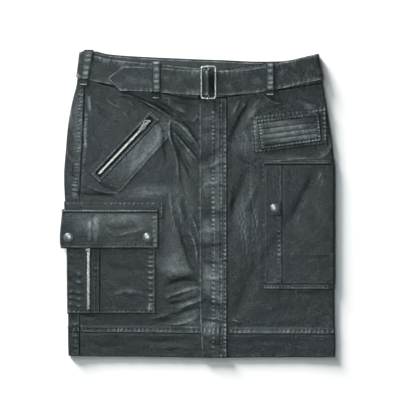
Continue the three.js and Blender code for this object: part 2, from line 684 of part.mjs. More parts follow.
// The buckle: a rounded wire frame with a bar down its middle, held to it by two short collars.
function buckle() {
  const bevel = BUCKLE.wire * 0.3;
  const outline = roundedRectangle(BUCKLE.width - 2 * bevel, BUCKLE.height - 2 * bevel, BUCKLE.corner - bevel);
  const band = BUCKLE.wire - bevel;
  const hole = roundedRectangle(BUCKLE.width - 2 * band, BUCKLE.height - 2 * band, BUCKLE.corner - band, new THREE.Path());
  outline.holes.push(hole);
  const depth = BUCKLE.wire - 2 * bevel;
  const frame = new THREE.ExtrudeGeometry(outline, {
    depth,
    bevelSize: bevel,
    bevelThickness: bevel,
    bevelSegments: 1,
    curveSegments: 4,
  });
  frame.translate(0, 0, -depth / 2);
  const bar = new THREE.CylinderGeometry(BUCKLE.bar / 2, BUCKLE.bar / 2, BUCKLE.height - BUCKLE.wire, 10);
  bar.translate(0, 0, -2.1);
  const collars = [-1, 1].map((side) => {
    const collar = new THREE.CylinderGeometry(BUCKLE.collar / 2, BUCKLE.collar / 2, 4, 10);
    collar.rotateZ(Math.PI / 2);
    collar.translate(0, (side * (BUCKLE.height - BUCKLE.wire)) / 2, -0.3);
    return collar;
  });
  const frameBottom = 13.2;
  const mesh = addMesh("buckle", joined([frame, bar, ...collars]), COLOURS.nickel);
  mesh.position.set(BUCKLE.x, BUCKLE.y, frameBottom + BUCKLE.wire / 2);
}

// The slanted zip pocket: a facing below the zip, a welt round the window, the tape and the teeth.
const zipAxis = new THREE.Vector2(Math.cos(degToRad(HIP_ZIP.angle)), Math.sin(degToRad(HIP_ZIP.angle)));
const zipPoint = (along, below) => ({
  x: HIP_ZIP.x + zipAxis.x * along + zipAxis.y * below,
  y: HIP_ZIP.y + zipAxis.y * along - zipAxis.x * below,
});

function hipZip() {
  const { facing, length, weltWidth, weltEnd, window, windowEnd, chain } = HIP_ZIP;
  const steps = divide([0, 1], [12]);
  const half = window / 2;
  const nearFar = divide([0, 1], [3]);
  const facingAt = (i, j) => zipPoint(
    lerp(lerp(facing.start, facing.startFar, nearFar[j]), lerp(facing.end, facing.endFar, nearFar[j]), steps[i]),
    lerp(facing.near, facing.far, nearFar[j]),
  );
  frontCloth("hip_zip_facing", steps.length, nearFar.length, facingAt, LAYER_GAP, LAYER_GAP + 1.1);

  const sides = [
    ...steps.map((share) => [share, -1]),
    ...[...steps].reverse().map((share) => [share, 1]),
  ];
  const weltAt = (i, j) => {
    const [share, side] = sides[i];
    const along = j === 0
      ? lerp(-windowEnd, length + windowEnd, share)
      : lerp(-weltEnd, length + weltEnd, share);
    return zipPoint(along, side * (j === 0 ? half : weltWidth / 2));
  };
  frontCloth("hip_zip_welt", sides.length, 2, weltAt, LAYER_GAP, LAYER_GAP + 1.5, COLOURS.cloth, true);

  const strip = (width, start, end) => (i, j) => zipPoint(lerp(start, end, steps[i]), (0.5 - j) * width);
  const tapeAt = strip(window - 2 * SEAM_GAP, -windowEnd + SEAM_GAP, length + windowEnd - SEAM_GAP);
  frontCloth("hip_zip_tape", steps.length, 2, tapeAt, LAYER_GAP, LAYER_GAP + 0.7, COLOURS.tape);
  frontCloth("hip_zip_teeth", steps.length, 2, strip(chain, 0, length), 1.4, 2.7, COLOURS.teeth);
}

// A zip slider: a tapered plate over the teeth, with flanges down its sides.
function sliderParts(plateBottom, tapeTop, chain) {
  const { length, width, tail, plate, flange } = SLIDER;
  const shape = new THREE.Shape();
  shape.moveTo(-length / 2, -tail / 2);
  shape.lineTo(length * 0.1, -width / 2);
  shape.lineTo(length / 2 - 1.5, -width / 2);
  shape.lineTo(length / 2, -width / 2 + 2);
  shape.lineTo(length / 2, width / 2 - 2);
  shape.lineTo(length / 2 - 1.5, width / 2);
  shape.lineTo(length * 0.1, width / 2);
  shape.lineTo(-length / 2, tail / 2);
  const top = new THREE.ExtrudeGeometry(shape, { depth: plate, bevelEnabled: false });
  top.translate(0, 0, plateBottom);
  const flanges = [-1, 1].map((side) => {
    const box = new THREE.BoxGeometry(length * 0.6, flange, plateBottom - tapeTop + 0.2);
    box.translate(length * 0.1, side * (chain / 2 + 0.3 + flange / 2), (plateBottom + tapeTop) / 2 + 0.1);
    return box;
  });
  return [top, ...flanges];
}

function bridgePart(plateTop, rootGap) {
  const { length, width, thickness, post } = BRIDGE;
  const high = rootGap + thickness;
  const shape = new THREE.Shape();
  shape.moveTo(-length / 2, -0.2);
  shape.lineTo(-length / 2, high - 0.5);
  shape.lineTo(-length / 2 + 0.5, high);
  shape.lineTo(length / 2 - 0.5, high);
  shape.lineTo(length / 2, high - 0.5);
  shape.lineTo(length / 2, -0.2);
  shape.lineTo(length / 2 - post, -0.2);
  shape.lineTo(length / 2 - post, rootGap);
  shape.lineTo(-length / 2 + post, rootGap);
  shape.lineTo(-length / 2 + post, -0.2);
  const arch = new THREE.ExtrudeGeometry(shape, { depth: width, bevelEnabled: false });
  arch.rotateX(Math.PI / 2);
  arch.translate(0, width / 2, plateTop);
  return arch;
}

// The pull tab: a root bar in the bridge, two arms and a ring, flat in its own XY plane.
function pullGeometry() {
  const { root, armInner, armOuter, window, reach, ring, hole } = PULL;
  const ringAt = reach - ring;
  const shape = new THREE.Shape();
  shape.moveTo(-root / 2, -armOuter);
  shape.lineTo(window + 0.6, -armOuter);
  shape.absarc(ringAt, 0, ring, -Math.PI * 0.78, Math.PI * 0.78, false);
  shape.lineTo(window + 0.6, armOuter);
  shape.lineTo(-root / 2, armOuter);
  const opening = new THREE.Path();
  opening.moveTo(root / 2, -armInner);
  opening.lineTo(root / 2, armInner);
  opening.lineTo(window, armInner);
  opening.lineTo(window, -armInner);
  const eye = new THREE.Path();
  eye.absellipse(ringAt + 0.3, 0, hole + 0.9, hole, 0, Math.PI * 2, true);
  shape.holes.push(opening, eye);
  const tab = new THREE.ExtrudeGeometry(shape, { depth: root, bevelEnabled: false, curveSegments: 14 });
  tab.translate(0, 0, -root / 2);
  return tab;
}

function hipSlider() {
  const tapeTop = LAYER_GAP + 0.7 + 0.3;
  const plateBottom = 3.0;
  const rootGap = PULL.root + 0.6;
  const spot = zipPoint(SLIDER.at, 0);
  const holder = new THREE.Group();
  holder.position.copy(outerFace(roundAt(spot.x, spot.y), spot.y));
  holder.rotation.z = degToRad(HIP_ZIP.angle);
  skirt.add(holder);
  const plateTop = plateBottom + SLIDER.plate;
  const parts = [...sliderParts(plateBottom, tapeTop, HIP_ZIP.chain), bridgePart(plateTop, rootGap)];
  addMesh("hip_zip_slider", joined(parts), COLOURS.nickel, holder);
  const pull = addMesh("hip_zip_pull", pullGeometry(), COLOURS.nickel, holder);
  pull.position.z = plateTop + 0.3 + PULL.root / 2;
  pull.rotation.z = degToRad(PULL.yaw);
}

// The flapped cargo pocket at the left hip, which wraps the side fold.
function cargoBulge(x, y) {
  const hidden = Math.exp(-(((x - CARGO.zip.x) / 11) ** 2)) * smoothstep(-y, 22, 46);
  return 3.0 * hidden;
}

function cargoPocket() {
  const { facing, bag, zip, sideReach } = CARGO;
  const level = (low, high, shares) => (j) => lerp(low, high, shares[j]);
  const add = (name, columns, rowCount, levelAt, inner, outer) => {
    const place = (i, j) => ({ round: columns[i](levelAt(j)), y: levelAt(j) });
    cloth(name, columns.length, rowCount, place, inner, outer);
  };
  const facingRows = divide([0, 1], [3]);
  const facingColumns = overFold(() => facing.right, -1, 8, 4, sideReach);
  add("cargo_facing", facingColumns, 4, level(facing.bottom, facing.top, facingRows), LAYER_GAP, LAYER_GAP + CLOTH);

  const bagRows = divide([0, 1], [8]);
  const band = [zip.band + 0.5, zip.band - 0.5, zip.band - 13, zip.band - 14];
  const bagColumns = [
    ...divide([bag.right, bag.right - 8, band[0]], [1, 6]).map((x) => (y) => roundAt(x, y)),
    ...band.slice(1).map((x) => (y) => roundAt(x, y)),
    ...overFold(() => zip.x - 9, -1, 3, 5, sideReach),
  ];
  const bagOuter = (spot, i) => LAYER_GAP + CLOTH + (i === 8 || i === 9 ? 0.5 : 0);
  add("cargo_pocket", bagColumns, 9, level(bag.bottom, bag.top, bagRows), LAYER_GAP, bagOuter);

  const chainSteps = divide([0, 1], [8]);
  const chainAt = (i, j) => ({ x: zip.x + (i - 0.5) * zip.width, y: lerp(zip.bottom, zip.top, chainSteps[j]) });
  const chainLow = LAYER_GAP + CLOTH + 0.3;
  frontCloth("cargo_zip_teeth", 2, 9, chainAt, chainLow, chainLow + 1.0, COLOURS.teeth);

  cargoFlap();
}

// The level of the flap's outer face at a place, and its way round from the front towards the side.
function flapPoint(i, y) {
  const { flap } = CARGO;
  const held = FLAP_PROFILE[10].x;
  const { x, drop } = FLAP_PROFILE[i];
  const reach = (column(FLAP_EDGE, "y", "reach", y) - held) / (-220.4 - held);
  const across = x > held ? x : held + (x - held) * reach;
  const under = 2 * LAYER_GAP + CLOTH + 0.3 + flap.lift * smoothstep(flap.top - y, 2, 16);
  const level = outerFace(roundAt(Math.max(x, held), y), y).z + under + flap.thickness;
  return new THREE.Vector3(across, y, level + cargoBulge(across, y) - drop);
}

function cargoFlap() {
  const { flap } = CARGO;
  const rows = [flap.top, flap.top - 1, flap.top - 4.8, flap.top - 6, ...divide([flap.top - 14, flap.bottom], [4])];
  const last = FLAP_PROFILE.length - 1;
  const outward = (i, y) => {
    const across = flapPoint(Math.min(i + 1, last), y).sub(flapPoint(Math.max(i - 1, 0), y));
    return new THREE.Vector3(across.z, 0, -across.x).normalize();
  };
  const outer = (i, j) => flapPoint(i, rows[j]).addScaledVector(outward(i, rows[j]), j === 1 || j === 2 ? flap.piping : 0);
  const inner = (i, j) => flapPoint(i, rows[j]).addScaledVector(outward(i, rows[j]), -flap.thickness);
  addMesh("cargo_flap", wall(last + 1, rows.length, inner, outer), COLOURS.cloth);
}

// The slider of the cargo zip, half under the flap, with its pull tab laid up beneath the flap.
function cargoSlider() {
  const { zip } = CARGO;
  const plateBottom = LAYER_GAP + CLOTH + 0.3 + 1.0 + 0.3;
  const tapeTop = LAYER_GAP + CLOTH + 0.3;
  const parts = sliderParts(plateBottom, tapeTop, zip.width);
  const tab = new THREE.BoxGeometry(13, 5, 0.9);
  tab.translate(SLIDER.length / 2 + 5.5, 0, plateBottom + 0.45);
  const spotY = -70;
  const mesh = addMesh("cargo_zip_slider", joined([...parts, tab]), COLOURS.nickel);
  mesh.position.copy(outerFace(roundAt(zip.x, spotY), spotY));
  mesh.rotation.z = Math.PI / 2;
}

function penPocket() {
  const { patch, flap, flapTop, ribs, ribHeight } = PEN_POCKET;
  const corner = (corners, s, t) => ({
    x: lerp(lerp(corners[0][0], corners[1][0], s), lerp(corners[3][0], corners[2][0], s), t),
    y: lerp(lerp(corners[0][1], corners[1][1], s), lerp(corners[3][1], corners[2][1], s), t),
  });
  const across = divide([0, 1], [9]);
  const up = divide([0, 1], [4]);
  const patchAt = (i, j) => corner(patch, across[i], up[j]);
  frontCloth("pen_pocket", across.length, up.length, patchAt, LAYER_GAP, LAYER_GAP + CLOTH);

  const border = 0.05;
  const columns = [0, border, ...divide([border + 0.02, 1 - border - 0.02], [3]), 1 - border, 1];
  const topShare = 1 - flapTop / 47;
  const rowsPerRib = 4;
  const ribRows = divide([0.1, topShare - 0.03], [ribs * rowsPerRib]);
  const rows = [0, 0.07, ...ribRows, topShare, topShare + 0.03, 1];
  const flapAt = (i, j) => corner(flap, columns[i], rows[j]);
  const base = 2 * LAYER_GAP + CLOTH;
  const lift = (i, j) => {
    if (j > rows.length - 3) return 0.6;
    const rib = j - 2;
    if (i < 2 || i > columns.length - 3 || rib < 0 || rib >= ribRows.length) return 0;
    return ribHeight * Math.abs(Math.sin((Math.PI * rib) / rowsPerRib));
  };
  frontCloth("pen_flap", columns.length, rows.length, flapAt, base, (spot, i, j) => base + 1.6 + lift(i, j));
}

// The bellows pocket at the right hip: a front panel that wraps the side fold, a gusset strip with a
// snap tab, and bound edges above and below.
function bellowsPocket() {
  const { left, fold, top, bottom, binding, tab, sideReach } = BELLOWS_POCKET;
  const add = (name, columns, rows, inner, outer) => {
    const place = (i, j) => ({ round: columns[i](rows[j]), y: rows[j] });
    cloth(name, columns.length, rows.length, place, inner, outer);
  };
  const levels = divide([bottom + 3 + SEAM_GAP, top - 4 - SEAM_GAP], [10]);
  const panel = overFold(() => fold + SEAM_GAP, 1, 7, 5, sideReach);
  add("bellows_panel", panel, levels, LAYER_GAP, LAYER_GAP + CLOTH);
  const gusset = divide([left + 2, fold], [3]).map((x) => (y) => roundAt(x, y));
  add("bellows_gusset", gusset, levels, LAYER_GAP, LAYER_GAP + 0.9);
  const bound = overFold(() => left, 1, 10, 5, sideReach);
  const topRows = [top - 4, top, top - 4 + binding];
  const bottomRows = [bottom - 5, bottom - 1, bottom + 3];
  add("bellows_top_binding", bound, topRows, LAYER_GAP, LAYER_GAP + 1.9);
  add("bellows_bottom_binding", bound, bottomRows, LAYER_GAP, LAYER_GAP + 1.9);
  const tabRows = divide([tab.bottom, tab.top], [2]);
  const tabColumns = divide([tab.left, tab.right], [2]).map((x) => (y) => roundAt(x, y));
  add("bellows_tab", tabColumns, tabRows, 2 * LAYER_GAP + 0.9, 2 * LAYER_GAP + 0.9 + CLOTH);
}

// A snap cap: a low dome with a rolled rim.
function snaps() {
  const { radius, height } = SNAP;
  const profile = [
    [0, 0],
    [radius - 0.6, 0],
    [radius, 0.5],
    [radius, 1.0],
    [radius - 0.7, 1.5],
    [radius * 0.75, height * 0.82],
    [radius * 0.4, height * 0.97],
    [0, height],
  ].map(([x, y]) => new THREE.Vector2(x, y));
  const dome = new THREE.LatheGeometry(profile, 20);
  dome.rotateX(Math.PI / 2);
  const tabTop = 2 * LAYER_GAP + 0.9 + CLOTH;
  const sideSeat = flapPoint(11, SNAPS[0].y);
  const sideAxis = new THREE.Vector3(-0.06, 0, 1).normalize();
  for (const snap of SNAPS) {
    const mesh = addMesh(snap.name, dome.clone(), COLOURS.snap);
    const round = roundAt(snap.x, snap.y);
    const level = snap.seat === "tab" ? outerFace(round, snap.y).z + tabTop : flapPoint(1, snap.y).z;
    mesh.position.set(snap.x, snap.y, level + SEAM_GAP);
    if (snap.x < -200) {
      mesh.position.copy(sideSeat).addScaledVector(sideAxis, SEAM_GAP + 0.1);
      mesh.quaternion.setFromUnitVectors(new THREE.Vector3(0, 0, 1), sideAxis);
    }
  }
}

leftFront();
rightFront();
back();
hemBands();
waistbands();
placket();
belt();
beltLoops();
buckle();
hipZip();
hipSlider();
cargoPocket();
cargoSlider();
penPocket();
bellowsPocket();
snaps();

export default skirt;
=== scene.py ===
import math

import bpy
import numpy as np
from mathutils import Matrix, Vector
from mathutils.bvhtree import BVHTree


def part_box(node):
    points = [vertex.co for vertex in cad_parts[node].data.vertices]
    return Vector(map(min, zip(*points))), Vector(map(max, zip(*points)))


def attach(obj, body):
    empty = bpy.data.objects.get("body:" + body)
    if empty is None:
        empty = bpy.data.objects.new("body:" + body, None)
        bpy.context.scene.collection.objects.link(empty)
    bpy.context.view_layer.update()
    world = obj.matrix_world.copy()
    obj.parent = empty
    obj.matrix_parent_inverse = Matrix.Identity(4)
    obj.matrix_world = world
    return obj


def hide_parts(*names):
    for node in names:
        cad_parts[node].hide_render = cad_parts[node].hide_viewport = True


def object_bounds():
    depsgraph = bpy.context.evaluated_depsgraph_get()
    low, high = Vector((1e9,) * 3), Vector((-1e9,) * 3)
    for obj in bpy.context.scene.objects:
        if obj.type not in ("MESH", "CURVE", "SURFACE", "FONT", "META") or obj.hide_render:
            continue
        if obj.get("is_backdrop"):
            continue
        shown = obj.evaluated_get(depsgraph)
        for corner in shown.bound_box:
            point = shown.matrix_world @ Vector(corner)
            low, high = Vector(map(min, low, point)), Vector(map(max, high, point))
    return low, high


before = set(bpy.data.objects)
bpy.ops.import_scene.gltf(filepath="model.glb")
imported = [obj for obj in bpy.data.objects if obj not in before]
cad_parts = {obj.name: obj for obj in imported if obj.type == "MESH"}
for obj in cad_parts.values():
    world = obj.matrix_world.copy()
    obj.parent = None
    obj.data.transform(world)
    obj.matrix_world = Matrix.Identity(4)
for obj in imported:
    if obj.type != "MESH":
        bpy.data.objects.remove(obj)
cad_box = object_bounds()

# Lengths are millimetres until a mesh is made, and MM turns them into metres. The stage is in metres.
MM = 0.001
PI = math.pi
PIXEL, PICTURE = 1.6, 416  # millimetres a pixel, and the picture's side in pixels
HIP_TURN = 46.5  # degrees that the hip zip slants


# ---------------------------------------------------------------- tables and helpers
class Table:
    """Rows joined smoothly without overshoot, looked up along their first column."""

    def __init__(self, *rows):
        rows = np.array(rows, float)
        self.x, self.v = rows[:, 0], rows[:, 1:]
        rise = np.diff(self.v, axis=0) / np.diff(self.x)[:, None]
        self.m = np.zeros_like(self.v)
        self.m[0], self.m[-1] = rise[0], rise[-1]
        before, after = rise[:-1], rise[1:]
        same = before * after > 0
        total = np.where(same, before + after, 1.0)
        self.m[1:-1] = np.where(same, 2 * before * after / total, 0.0)

    def __call__(self, at, k=0):
        at = np.asarray(at, float)
        i = np.clip(np.searchsorted(self.x, at, side="right") - 1, 0, len(self.x) - 2)
        w = self.x[i + 1] - self.x[i]
        t = np.clip((at - self.x[i]) / w, 0, 1)
        a, b = self.v[i, k], self.v[i + 1, k]
        p, q = self.m[i, k] * w, self.m[i + 1, k] * w
        s = 1 - t
        return a * (1 + 2 * t) * s * s + p * t * s * s + b * t * t * (3 - 2 * t) - q * t * t * s


def smooth(x, a, b):
    t = np.clip((np.asarray(x, float) - a) / (b - a), 0, 1)
    return t * t * (3 - 2 * t)


def bell(x, middle, reach, power=2):
    return np.exp(-(((x - middle) / reach) ** power))


def mix(a, b, t):
    return a + (b - a) * t


def photo(px, py):
    """A place on the laid front from a place in the picture."""
    return (px - 197.75) * PIXEL, (203.8 - py) * PIXEL


# Gap at a seam, gap between two layers, thickness of the cloth, and height of the waistband.
GAP, LAYER, CLOTH, WAISTBAND = 0.12, 0.4, 1.2, 45
# y, left edge, right edge, height beside the folds above and below
SECTION = Table(
    (-246, -206.0, 219.0, 5.2, 0.6), (-206, -206.8, 219.2, 5.4, 0.6), (-192, -207.0, 218.8, 5.7, 0),
    (-130, -207.6, 218.4, 6.0, 0), (-70, -208.2, 218.4, 6.2, 0), (0, -212.0, 218.4, 6.2, 0),
    (45, -213.6, 218.4, 6.2, 0), (85, -210.8, 216.2, 6.3, 0), (125, -207.2, 210.8, 6.6, 0),
    (160, -201.0, 205.2, 7.4, 1.6), (189, -193.6, 199.9, 8.3, 3.2), (205, -190.6, 197.3, 8.3, 3.2),
    (246, -185.6, 188.8, 8.3, 3.2))
WAIST_TOP = Table(  # x, front, back
    (-192, 239.5, 239.5), (-184, 243.0, 243.0), (-173, 243.5, 243.5), (-162, 239.5, 241.0), (-148, 235.0, 238.5),
    (-118, 229.0, 236.0), (-72, 225.0, 233.5), (-36, 217.0, 232.0), (0, 211.5, 230.5), (31, 213.5, 229.5),
    (95, 222.5, 227.0), (140, 228.0, 228.0), (191, 236.4, 236.4))
HEM = Table(  # x, seam, edge
    (-207, -205.5, -242.6), (-60, -206.5, -244.2), (10, -207.5, -245.5), (120, -208.0, -244.8),
    (220, -208.3, -244.4))
SIDE_SEAM = Table((-246, -188.5), (-10, -188.5), (60, -186.2), (102, -183.2), (150, -181.4), (246, -177.4))
# x0, y0, x1, y1, bow, half width, height
FOLDS = [
    (-28, 98, -4, -12, 8, 6, -0.6), (-62, -116, 0, -104, 2, 10, 1.4),
    (-40, -197, 6, -186, 1, 5, 1.2), (84, 62, 50, -40, 6, 9, -1.1), (206, 72, 60, -196, 18, 19, -0.9),
    (2, -170, 50, -164, 0, 8, -0.9)]
# x, y, half sizes, turn
HELD_FLAT = [
    (-116.5, 90.4, 76, 15, HIP_TURN), (-93, 67, 62, 18, HIP_TURN), (-134, -86, 82, 92, 0), (146, 116, 62, 42, 7),
    (160, -32, 60, 105, 0), (26, -20, 24, 260, 0)]
BELT_FIXED = Table((-192, 221.5), (-140, 210.5), (-76, 204.0), (20, 194.5))
BELT_FREE = Table((-143, 199.9), (-76, 198.3), (-24, 194.0), (17, 192.6), (55, 193.2), (108, 199.2),
                  (151, 208.2), (198, 218.2))
BELT_BACK = Table((-192, 221.5), (-60, 211.5), (60, 206.5), (136, 207.4), (164, 211.2), (198, 218.2))
FLAP_EDGE = Table((-72, -218.4), (-61, -220.4), (-52, -220.4), (-32, -218.8), (-13, -217.0), (-8, -216.6))
FLAP_DROP = Table((0, 0), (10, 0.2), (17.5, 0.6), (21.6, 1.8), (23.8, 4.1), (24.7, 6.4), (26.0, 8.3))


def waist_seam(x):
    return WAIST_TOP(x, 0) - WAISTBAND


def hem_seam(x):
    return HEM(x, 0)


# ---------------------------------------------------------------- the flattened tube
def section(y):
    left, right, high, low = (SECTION(y, k) for k in range(4))
    r = (high - low) / 2
    return right - r, -left - r, r, high, low


def relief(x, y, edge):
    h = np.zeros(x.shape)
    for x0, y0, x1, y1, bow, width, height in FOLDS:
        length = math.hypot(x1 - x0, y1 - y0)
        ax, ay = (x1 - x0) / length, (y1 - y0) / length
        t = ((x - x0) * ax + (y - y0) * ay) / length
        arch = np.clip(4 * t * (1 - t), 0, None)
        off = (x - x0) * ay - (y - y0) * ax - bow * arch
        h += height * bell(off, 0, width) * np.sqrt(arch) * smooth(arch, 0, 0.6)
    free = np.ones(x.shape)
    for hx, hy, half_x, half_y, turn in HELD_FLAT:
        s, c = math.sin(math.radians(turn)), math.cos(math.radians(turn))
        bx = np.abs((x - hx) * c + (y - hy) * s) - half_x
        by = np.abs((y - hy) * c - (x - hx) * s) - half_y
        free = np.minimum(free, smooth(np.hypot(np.maximum(bx, 0), np.maximum(by, 0)), 0, 9))
    clear = smooth(waist_seam(x) - y, 0, 14) * smooth(y - hem_seam(x), 0, 14)
    return h * free * clear * smooth(edge, 0, 14) - 1.2 * smooth(edge, 0, 70)


def turn_of(u, y):
    """The way round the tube for a distance u across the cloth from the front's middle."""
    run_r, run_l, r, _, _ = section(y)
    run, a = np.where(u > 0, run_r, run_l), np.abs(u)
    past = a - run
    t = np.where(past <= 0, a / run, 1 + past / (PI * r))
    t = np.where(past > PI * r, 2 + 2 * (past - PI * r) / (run_r + run_l), t)
    return np.where(u > 0, t, 6 - t)


def tube(t, y):
    t = np.mod(t, 6)
    run_r, run_l, r, high, low = section(y)
    mid = (high + low) / 2
    x = np.where(t <= 1, t * run_r, (t - 6) * run_l)
    z = high + relief(x, y, np.where(x > 0, run_r - x, run_l + x))
    a, b = (t - 1) * PI, (5 - t) * PI
    right, under, left = (t > 1) & (t < 2), (t >= 2) & (t <= 4), (t > 4) & (t < 5)
    x = np.where(right, run_r + r * np.sin(a), np.where(left, -run_l - r * np.sin(b), x))
    z = np.where(right, mid + r * np.cos(a), np.where(left, mid + r * np.cos(b), z))
    x = np.where(under, run_r - (run_r + run_l) * (t - 2) / 2, x)
    return np.stack([x, y + 0 * x, np.where(under, low, z)], -1)


def unit(v):
    return v / np.maximum(np.linalg.norm(v, axis=-1, keepdims=True), 1e-12)


def skin_at(t, y):
    """Points and outward normals of the tube's outer face, and how far round they lie."""
    across = tube(t + 0.002, y) - tube(t - 0.002, y)
    along = tube(t, y + 0.5) - tube(t, y - 0.5)
    return tube(t, y), unit(np.cross(across, along)), np.mod(t, 6)


def skin(u, y):
    return skin_at(turn_of(u, y), y)


# ---------------------------------------------------------------- creases, puckers and crumples
def wobble(s, seed):
    """A smooth uneven line between about -1 and 1."""
    k = np.random.default_rng(seed).uniform(0, 2 * PI, 4)
    return (0.5 * np.sin(s + k[0]) + 0.3 * np.sin(2.17 * s + k[1]) + 0.25 * np.sin(3.71 * s + k[2])
            + 0.12 * np.sin(6.3 * s + k[3]))


def crumple(u, y, size, seed, waves=9):
    """Low uneven swells of about one size, between about -1 and 1."""
    g = np.random.default_rng(seed)
    h = np.zeros(np.shape(u))
    for _ in range(waves):
        a, k, p = g.uniform(0, PI), 2 * PI / (size * g.uniform(0.7, 1.6)), g.uniform(0, 2 * PI)
        bend = 1.2 * np.sin(0.6 * k * (y * math.cos(a) - u * math.sin(a)) + p)
        h += np.sin(k * (u * math.cos(a) + y * math.sin(a)) + p + bend)
    return h / math.sqrt(waves) * 0.7


def nearest(points, u, y):
    """Distance to a line of points, the side it lies on and how far along it that is."""
    best, along, side = np.full(u.shape, 1e9), np.zeros(u.shape), np.zeros(u.shape)
    s = 0.0
    for (x0, y0), (x1, y1) in zip(points[:-1], points[1:]):
        ax, ay = x1 - x0, y1 - y0
        length = max(math.hypot(ax, ay), 1e-6)
        t = np.clip(((u - x0) * ax + (y - y0) * ay) / length ** 2, 0, 1)
        d = np.hypot(u - x0 - t * ax, y - y0 - t * ay)
        near = d < best
        best, along = np.where(near, d, best), np.where(near, s + t * length, along)
        side = np.where(near, np.sign((u - x0) * ay - (y - y0) * ax), side)
        s += length
    return best, along, side, s


def curve(p, q, r, n=9):
    """Points on the smooth line from p through q to r."""
    t = np.linspace(0, 1, n)[:, None]
    c = 2 * np.array(q) - (np.array(p) + np.array(r)) / 2
    return ((1 - t) ** 2 * p + 2 * t * (1 - t) * c + t * t * np.array(r)).tolist()


